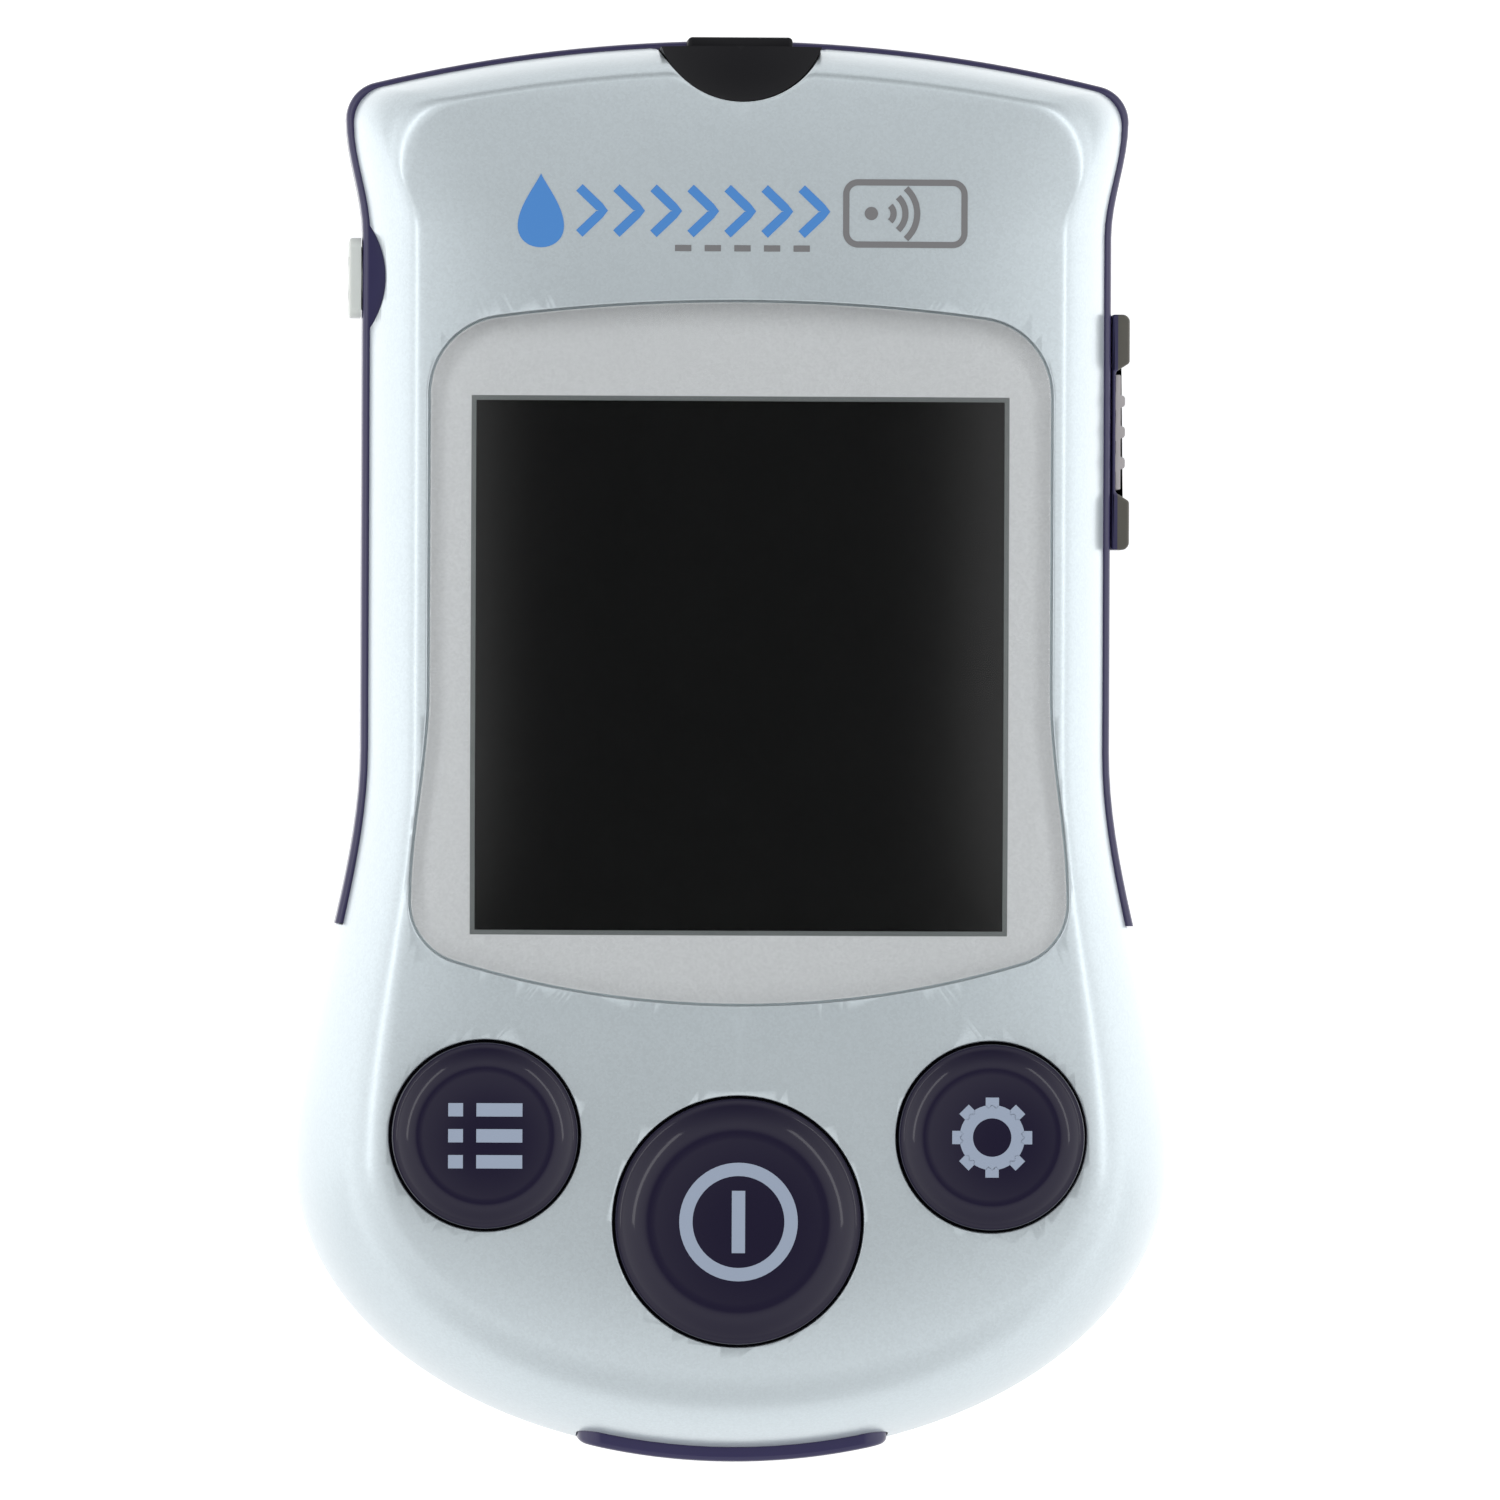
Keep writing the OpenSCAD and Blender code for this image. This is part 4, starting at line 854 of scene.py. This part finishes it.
def dropLine(cx, cy, halfW, halfH, count=48):
    angles = [2 * math.pi * i / count for i in range(count)]
    wide = halfW * marks["dropWide"]
    power = marks["dropPower"]
    return [(cx - wide * math.sin(a) * math.sin(a / 2) ** power, cy + halfH * math.cos(a)) for a in angles]


def blueMarks():
    m = marks
    middle = (m["dropX"], m["y"] - m["dropLow"])
    pieces = [patch("drop", dropLine(m["dropX"], m["y"], *m["drop"]), middle, skinZ)]
    halfX, halfY = m["chevron"]
    for x in [m["firstX"] + m["stepX"] * k for k in range(m["count"])]:
        high, tip, low = (x - halfX, m["y"] + halfY), (x + halfX, m["y"]), (x - halfX, m["y"] - halfY)
        pieces.append(stroke("chevron", straight(high, tip, 6) + straight(tip, low, 6)[1:], m["line"], skinZ))
    return joinAll("faceMarks", pieces)


def greyMarks():
    m = marks
    cx, cy, halfW, halfH, r = m["badge"]
    pieces = [stroke("badge", dense(roundRectLine(cx, cy, halfW, halfH, r)), m["thin"], skinZ, closed=True)]
    for radius in m["waves"]:  # waves spreading from a point
        wave = arcPoints(cx + m["waveX"], cy, radius, -m["waveHalf"], m["waveHalf"], 12)
        pieces.append(stroke("wave", wave, m["thin"], skinZ))
    source = (cx + m["sourceX"], cy)
    pieces.append(patch("source", circleLine(*source, m["sourceR"], 24), source, skinZ))
    for x in m["dashes"]:  # a dashed line under the arrows
        dash = straight((x - m["dashHalf"], m["dashY"]), (x + m["dashHalf"], m["dashY"]), 4)
        pieces.append(stroke("dash", dash, m["thin"], skinZ))
    return joinAll("faceBadge", pieces)


faceMarks, faceBadge = blueMarks(), greyMarks()
for piece, slot in ((faceMarks, "navy_plastic"), (faceBadge, "mask_silver")):
    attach(piece, "case")
print("printed marks done")


# helpers for materials
def isSocket(value):
    return hasattr(value, "is_output")


def feed(socket, value):
    # links a socket to another one, or sets its value
    if isSocket(value):
        socket.id_data.links.new(value, socket)
    else:
        socket.default_value = value


def addNode(tree, kind, inputs=None, **values):
    node = tree.nodes.new(kind)
    for key, value in values.items():
        setattr(node, key, value)
    for key, value in (inputs or {}).items():
        feed(node.inputs[key], value)
    return node


def treeOf(*values):
    return next(value.id_data for value in values if isSocket(value))


def calc(operation, a, b=0.0, clamp=False):
    node = addNode(treeOf(a, b), "ShaderNodeMath", {0: a, 1: b}, operation=operation, use_clamp=clamp)
    return node.outputs[0]


def plus(a, b, clamp=False):
    return calc("ADD", a, b, clamp)


def minus(a, b):
    return calc("SUBTRACT", a, b)


def times(a, b, clamp=False):
    return calc("MULTIPLY", a, b, clamp)


def mixColours(factor, a, b, blend="MIX"):
    inputs = {"Factor": factor, "A": a, "B": b}
    node = addNode(treeOf(factor, a, b), "ShaderNodeMix", inputs, data_type="RGBA", blend_type=blend)
    return node.outputs["Result"]


def objectPlace(tree):
    return addNode(tree, "ShaderNodeTexCoord").outputs["Object"]


def axesOf(place):
    return addNode(place.id_data, "ShaderNodeSeparateXYZ", {0: place}).outputs


def noise(tree, scale, detail):
    inputs = {"Vector": objectPlace(tree), "Scale": scale, "Detail": detail}
    return addNode(tree, "ShaderNodeTexNoise", inputs).outputs["Fac"]


# shared effects
def newGroup(name, inputs, outputs):
    tree = bpy.data.node_groups.new(name, "ShaderNodeTree")
    for label, value in inputs.items():
        kind = "NodeSocketColor" if isinstance(value, tuple) else "NodeSocketFloat"
        tree.interface.new_socket(label, in_out="INPUT", socket_type=kind).default_value = value
    for label in outputs:
        kind = "NodeSocketColor" if label == "Color" else "NodeSocketFloat"
        tree.interface.new_socket(label, in_out="OUTPUT", socket_type=kind)
    return tree, tree.nodes.new("NodeGroupInput").outputs, tree.nodes.new("NodeGroupOutput").inputs


def makeGrain():
    # fine moulded or sprayed texture: a height and a slow mottling
    inputs = {"Scale": 3000.0, "Peel Scale": 260.0, "Peel": 0.5}
    tree, given, result = newGroup("grain", inputs, ("Height", "Mottle"))
    waves = times(noise(tree, given["Peel Scale"], 1.0), given["Peel"])
    feed(result["Height"], plus(noise(tree, given["Scale"], 2.0), waves))
    feed(result["Mottle"], noise(tree, 55.0, 2.0))
    return tree


def makeHandling():
    # finger smudges and rubbed patches in the roughness
    tree, given, result = newGroup("handling", {"Roughness": 0.4, "Spread": 0.1, "Scale": 90.0}, ("Roughness",))
    broad = noise(tree, given["Scale"], 4.0)
    streaks = noise(tree, times(given["Scale"], 7.0), 2.0)
    both = plus(times(broad, 0.75), times(streaks, 0.25))
    shift = times(minus(both, 0.5), times(given["Spread"], 2.0))
    feed(result["Roughness"], plus(given["Roughness"], shift, clamp=True))
    return tree


def makeFlake():
    # small metal flakes that differ a little in brightness
    inputs = {"Color": (0.6, 0.6, 0.6, 1.0), "Scale": 7000.0, "Contrast": 0.1}
    tree, given, result = newGroup("flake", inputs, ("Color",))
    where = {"Vector": objectPlace(tree), "Scale": given["Scale"]}
    cells = addNode(tree, "ShaderNodeTexVoronoi", where, feature="F1")
    parts = addNode(tree, "ShaderNodeSeparateColor", {"Color": cells.outputs["Color"]})
    shade = plus(times(minus(parts.outputs[0], 0.5), given["Contrast"]), 1.0)
    grey = addNode(tree, "ShaderNodeCombineColor", {0: shade, 1: shade, 2: shade})
    feed(result["Color"], mixColours(1.0, given["Color"], grey.outputs["Color"], "MULTIPLY"))
    return tree


def makeWear():
    # a mask of the raised edges, broken up by noise
    tree, given, result = newGroup("wear", {"Reach": 0.04, "Scale": 900.0}, ("Mask",))
    shape = addNode(tree, "ShaderNodeNewGeometry")
    raised = minus(shape.outputs["Pointiness"], plus(0.5, given["Reach"]))
    feed(result["Mask"], times(times(raised, 14.0, clamp=True), noise(tree, given["Scale"], 3.0), clamp=True))
    return tree


def makeHairlines():
    # drawn lines along one direction, for bare metal
    tree, given, result = newGroup("hairlines", {"Scale": 900.0, "Stretch": 0.04}, ("Height",))
    x, y, z = axesOf(objectPlace(tree))
    drawn = addNode(tree, "ShaderNodeCombineXYZ", {0: x, 1: times(y, given["Stretch"]), 2: z})
    lines = addNode(tree, "ShaderNodeTexNoise", {"Vector": drawn.outputs[0], "Scale": given["Scale"]})
    feed(result["Height"], lines.outputs["Fac"])
    return tree


effects = dict(grain=makeGrain(), handling=makeHandling(), flake=makeFlake(), wear=makeWear(),
               hairlines=makeHairlines())
print("shared effects made:", len(effects))


# materials
def srgb(r, g, b):
    values = [c / 255 for c in (r, g, b)]
    return tuple(c / 12.92 if c <= 0.04045 else ((c + 0.055) / 1.055) ** 2.4 for c in values) + (1.0,)


def newMaterial(name, **inputs):
    material = bpy.data.materials.new(name)
    material.use_nodes = True
    shader = material.node_tree.nodes["Principled BSDF"]
    for key, value in inputs.items():
        feed(shader.inputs[key.replace("_", " ")], value)
    return material, material.node_tree, shader


def useEffect(tree, name, **values):
    return addNode(tree, "ShaderNodeGroup", values, node_tree=effects[name]).outputs


def handle(shader, rough, spread, scale=90.0):
    worn = useEffect(shader.id_data, "handling", Roughness=rough, Spread=spread, Scale=scale)
    feed(shader.inputs["Roughness"], worn["Roughness"])


def addBump(shader, height, distance):
    inputs = {"Distance": distance * mm, "Strength": 1.0, "Height": height}
    bump = addNode(shader.id_data, "ShaderNodeBump", inputs)
    feed(shader.inputs["Normal"], bump.outputs["Normal"])


def makeFinish(name, colour, rough, spread=0.06, metal=0.0, coat=0.0, grain=3000.0, peel=0.4, bump=0.006,
               flake=0.0, mottle=0.04, wear=0.15, specular=0.5):
    # a moulded or sprayed surface; the material's own values come from the finishes below
    material, tree, shader = newMaterial(name, Metallic=metal, Coat_Weight=coat, Coat_Roughness=0.08,
                                         Specular_IOR_Level=specular)
    texture = useEffect(tree, "grain", Scale=grain, Peel=peel)
    base = useEffect(tree, "flake", Color=colour, Contrast=flake)["Color"] if flake else colour
    dark = tuple(c * (1 - mottle * 2) for c in colour[:3]) + (1.0,)
    pale = tuple(min(c * 1.25 + 0.03, 0.9) for c in colour[:3]) + (1.0,)
    amount = times(times(minus(texture["Mottle"], 0.45), 2.0, clamp=True), 0.6)
    rubbed = times(useEffect(tree, "wear")["Mask"], wear)
    feed(shader.inputs["Base Color"], mixColours(rubbed, mixColours(amount, base, dark), pale))
    handle(shader, rough, spread)
    addBump(shader, texture["Height"], bump)
    return material


finishes = dict(
    silver_paint=dict(colour=srgb(199, 209, 214), rough=0.31, spread=0.04, metal=0.5, coat=0.1, flake=0.08,
                      bump=0.0018, peel=1.0, mottle=0.012, wear=0.2),
    rear_grey=dict(colour=srgb(190, 195, 200), rough=0.52, grain=1700.0, bump=0.02, peel=0.2, mottle=0.02, wear=0.3),
    navy_plastic=dict(colour=srgb(48, 44, 82), rough=0.3, bump=0.004, peel=0.8, wear=0.25),
    key_navy=dict(colour=srgb(29, 25, 46), rough=0.3, spread=0.05, bump=0.003, peel=0.8, wear=0.2, specular=0.1,
                  coat=0.45),
    mask_silver=dict(colour=srgb(218, 218, 220), rough=0.45, metal=0.1, flake=0.1, bump=0.002, mottle=0.01, wear=0.0),
    white_plastic=dict(colour=srgb(226, 226, 218), rough=0.45, grain=2400.0, wear=0.1),
    zebra_rubber=dict(colour=srgb(196, 120, 130), rough=0.7, grain=2200.0, bump=0.01, wear=0.1),
    switch_steel=dict(colour=srgb(150, 150, 154), rough=0.35, metal=0.85, bump=0.003, wear=0.1),
    chip_black=dict(colour=srgb(30, 30, 32), rough=0.55, grain=4200.0, wear=0.2),
    copper=dict(colour=srgb(205, 132, 88), rough=0.32, metal=0.95, bump=0.003, wear=0.1),
    gold=dict(colour=srgb(226, 182, 92), rough=0.22, metal=1.0, bump=0.002, wear=0.1),
    port_black=dict(colour=srgb(26, 26, 29), rough=0.5, spread=0.08, grain=2200.0, wear=0.2, specular=0.12),
    grip_grey=dict(colour=srgb(176, 171, 172), rough=0.6, grain=2000.0, bump=0.012, wear=0.2),
    block_grey=dict(colour=srgb(84, 81, 74), rough=0.5, grain=2000.0, bump=0.01, wear=0.3),
    cover_grey=dict(colour=srgb(212, 216, 212), rough=0.48, grain=1900.0, bump=0.01),
    view_edge=dict(colour=srgb(108, 112, 112), rough=0.5, grain=4000.0, bump=0.002, wear=0.0),
)
inks = dict(key_print=(srgb(146, 158, 178), 0.5), mark_blue=(srgb(66, 128, 196), 0.42),
            mark_grey=(srgb(112, 112, 114), 0.45))
for name, (colour, rough) in inks.items():
    finishes[name] = dict(colour=colour, rough=rough, grain=5200.0, bump=0.003, mottle=0.05, wear=0.0)
materials = {name: makeFinish(name + "_look", **values) for name, values in finishes.items()}


def bricks(tree, size, colours, **values):
    # rows of bricks in the object's plane: their width and height and the line between, then the three colours
    inputs = {"Vector": objectPlace(tree), "Scale": 1.0}
    inputs.update(zip(("Brick Width", "Row Height", "Mortar Size"), [v * mm for v in size]))
    inputs.update(zip(("Color1", "Color2", "Mortar"), [srgb(*colour) for colour in colours]))
    return addNode(tree, "ShaderNodeTexBrick", inputs, **values).outputs


def makeLcd():
    # dark display glass with the faint grid of its cells
    material, tree, shader = newMaterial("displayGlass", Specular_IOR_Level=0.05)
    grid = bricks(tree, (0.3, 0.3, 0.02), ((11, 11, 11), (11, 11, 11), (16, 16, 17)), offset=0.0)
    feed(shader.inputs["Base Color"], grid["Color"])
    handle(shader, 0.35, 0.05)
    return material


def makeLens():
    # clear window that lets the lamps through to the print below
    material, tree, shader = newMaterial("clearWindow", Base_Color=(0.97, 0.985, 0.985, 1), Transmission_Weight=1.0,
                                         IOR=1.49, Specular_IOR_Level=0.3)
    handle(shader, 0.06, 0.015, 60.0)
    rays = addNode(tree, "ShaderNodeLightPath").outputs
    clear = addNode(tree, "ShaderNodeBsdfTransparent", {"Color": (0.93, 0.95, 0.95, 1)}).outputs
    mixed = addNode(tree, "ShaderNodeMixShader", {0: rays["Is Shadow Ray"], 1: shader.outputs[0], 2: clear[0]})
    feed(tree.nodes["Material Output"].inputs["Surface"], mixed.outputs[0])
    return material


def makeSteel():
    material, tree, shader = newMaterial("drawnSteel", Metallic=1.0)
    lines = useEffect(tree, "hairlines")["Height"]
    feed(shader.inputs["Base Color"], mixColours(lines, srgb(176, 177, 180), srgb(212, 212, 214)))
    handle(shader, 0.28, 0.1)
    addBump(shader, lines, 0.004)
    return material


def makeBoard():
    # green solder mask over copper tracks
    material, tree, shader = newMaterial("solderMask")
    tracks = bricks(tree, (4.1, 1.3, 0.12), ((18, 88, 56), (22, 96, 62), (58, 138, 92)),
                    offset=0.37, squash=0.6, squash_frequency=3)
    feed(shader.inputs["Base Color"], tracks["Color"])
    handle(shader, 0.3, 0.08)
    addBump(shader, tracks["Fac"], 0.02)
    return material


def makeSlider():
    # the end blocks are a grey-brown moulding on the dark plate
    material = makeFinish("slider_look", **finishes["block_grey"])
    baseColour = material.node_tree.nodes["Principled BSDF"].inputs["Base Color"]
    outside = baseColour.links[0].from_socket
    inner = calc("LESS_THAN", axesOf(objectPlace(material.node_tree))[0], (sideX + 0.5) * mm)
    feed(baseColour, mixColours(inner, outside, finishes["navy_plastic"]["colour"]))
    return material


def makeCell():
    # a printed sleeve with a coppery shoulder towards the nub and bare steel ends
    material, tree, shader = newMaterial("cellSleeve")
    low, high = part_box("battery_cells")
    x, y, z = axesOf(objectPlace(tree))
    along = minus(y, (low[1] + high[1]) / 2)
    turned = times(along, calc("SIGN", times(x, -1.0)))  # the two cells point opposite ways
    shoulder = calc("GREATER_THAN", turned, 9 * mm)
    ends = calc("GREATER_THAN", calc("ABSOLUTE", along), (high[1] - low[1]) / 2 - 1.7 * mm)
    sleeve = mixColours(shoulder, srgb(30, 31, 36), srgb(196, 120, 62))
    feed(shader.inputs["Base Color"], mixColours(ends, sleeve, srgb(190, 190, 192)))
    feed(shader.inputs["Metallic"], calc("MAXIMUM", times(shoulder, 0.8), ends))
    handle(shader, 0.26, 0.08)
    return material


materials.update(slider_two=makeSlider(), lcd_black=makeLcd(), lens_clear=makeLens(), spring_steel=makeSteel(),
                 board_green=makeBoard(), cell_jacket=makeCell())
for node in frame["nodes"].values():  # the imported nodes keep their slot's name on their material
    if node.material_slots:
        node.material_slots[0].material = materials[node.material_slots[0].material.name.split(".")[0]]
looks = [
    (lensPrint, "mask_silver"), (topHousing, "silver_paint"), (rearHousing, "rear_grey"), (batteryDoor, "rear_grey"),
    (sideBand, "navy_plastic"), (bottomTrim, "navy_plastic"), (windowLens, "lens_clear"), (viewEdge, "view_edge"),
    (stripPort, "port_black"), (ejectorThumb, "slider_two"), (ejectorGrip, "grip_grey"), (dataCover, "cover_grey"),
    (faceMarks, "mark_blue"), (faceBadge, "mark_grey"),
]
looks += [(button, "key_navy") for button in buttonPieces.values()]
looks += [(legend, "key_print") for legend in legendPieces.values()]
for piece, name in looks:
    piece.data.materials.clear()
    piece.data.materials.append(materials[name])
print("materials done:", len(materials))

# studio
studio = dict(
    distance=1.2, frameWidth=101.25, lookX=0.7, lookY=-0.13, lean=2.2, roll=0.25, sensor=36, farEnd=10,
    floorSize=3, paper=(0.86, 0.84), lift=0.42, glow=0.95, floorDims=((45, 20, 0.85), (-20, -30, 0.55)),
    sky=((0.005, 2.0), (0.12, 1.75), (0.35, 1.4), (0.64, 1.2), (0.8, 1.15), (0.9, 1.05), (0.955, 0.8), (0.975, 0.5),
         (0.99, 0.15), (0.998, 0.02)), skyDims=dict(MAXIMUM=0.95, MINIMUM=0.6),
    lamps=dict(leftBox=155, rightBox=25), lampRise=44, lampFar=0.8, lampSize=(0.7, 0.1), lampPower=0.7,
)


def grey(level):
    return (level, level, level, 1.0)


def addToScene(name, data):
    obj = bpy.data.objects.new(name, data)
    bpy.context.scene.collection.objects.link(obj)
    return obj


def makeCamera():
    s = studio
    camera = addToScene("camera", bpy.data.cameras.new("camera"))
    bpy.context.scene.camera = camera
    camera.data.sensor_width = s["sensor"]
    camera.data.lens = s["sensor"] * s["distance"] / (s["frameWidth"] * mm)
    camera.data.clip_end = s["farEnd"]
    look = Vector((s["lookX"], s["lookY"], housing["faceZ"])) * mm
    lean = math.radians(s["lean"])
    camera.location = look + Vector((-math.sin(lean), 0, math.cos(lean))) * s["distance"]
    camera.rotation_euler = (0, -lean, math.radians(s["roll"]))


def makeFloor():
    # White paper, lifted for the camera so that it keeps the shadow. What the meter mirrors of it is dimmer beyond
    # the meter's two ends: from the first y on, over the second length, by the third part.
    bpy.ops.mesh.primitive_plane_add(size=studio["floorSize"], location=(0, 0, 0))
    floor = justAdded("floor")
    material, tree, shader = newMaterial("paper", Roughness=0.95, Emission_Color=grey(1.0))
    mottle = times(useEffect(tree, "grain", Scale=900.0)["Mottle"], 0.2)
    feed(shader.inputs["Base Color"], mixColours(mottle, *[grey(level) for level in studio["paper"]]))
    rays = addNode(tree, "ShaderNodeLightPath").outputs
    y = axesOf(objectPlace(tree))[1]
    upper, lower = [times(calc("DIVIDE", minus(y, start * mm), over * mm, clamp=True), dim)
                    for start, over, dim in studio["floorDims"]]
    shade = minus(1.0, plus(upper, lower))
    glow = times(rays["Is Glossy Ray"], times(shade, studio["glow"]))
    lift = times(rays["Is Camera Ray"], studio["lift"])
    feed(shader.inputs["Emission Strength"], calc("MAXIMUM", lift, glow))
    floor.data.materials.append(material)


def makeSky():
    # a light tent: bright at the left and right, dimmer beyond the meter's two ends, and a small dark opening
    # overhead where the camera looks in
    world = bpy.data.worlds.new("tent")
    bpy.context.scene.world = world
    world.use_nodes = True
    tree = world.node_tree
    back = tree.nodes["Background"].inputs
    x, y, z = axesOf(addNode(tree, "ShaderNodeTexCoord").outputs["Generated"])
    ramp = addNode(tree, "ShaderNodeValToRGB", {"Fac": z})
    points = ramp.color_ramp.elements
    for place, level in studio["sky"]:
        points.new(place).color = grey(level)
    for point in [p for p in points if p.position in (0.0, 1.0)][::-1]:  # the ramp's own two
        points.remove(point)
    seen = addNode(tree, "ShaderNodeLightPath").outputs["Is Camera Ray"]
    parts = [(calc(side, y, 0.0), dim) for side, dim in studio["skyDims"].items()]
    upper, lower = [times(times(part, part), -dim) for part, dim in parts]
    feed(back["Strength"], calc("MAXIMUM", plus(plus(upper, lower), 1.0), seen))
    feed(back["Color"], mixColours(seen, ramp.outputs["Color"], grey(1.0)))


def makeSoftbox(name, azimuth):
    data = bpy.data.lights.new(name, "AREA")
    data.shape, data.energy = "RECTANGLE", studio["lampPower"]
    data.size, data.size_y = studio["lampSize"]
    lamp = addToScene(name, data)
    a, e = math.radians(azimuth), math.radians(studio["lampRise"])
    direction = Vector((math.cos(a) * math.cos(e), math.sin(a) * math.cos(e), math.sin(e)))
    lamp.location = direction * studio["lampFar"]
    lamp.rotation_euler = direction.to_track_quat("Z", "Y").to_euler()


makeCamera()
makeFloor()
makeSky()
for name, azimuth in studio["lamps"].items():
    makeSoftbox(name, azimuth)
bpy.context.scene.view_settings.view_transform = "Standard"
print("studio done")
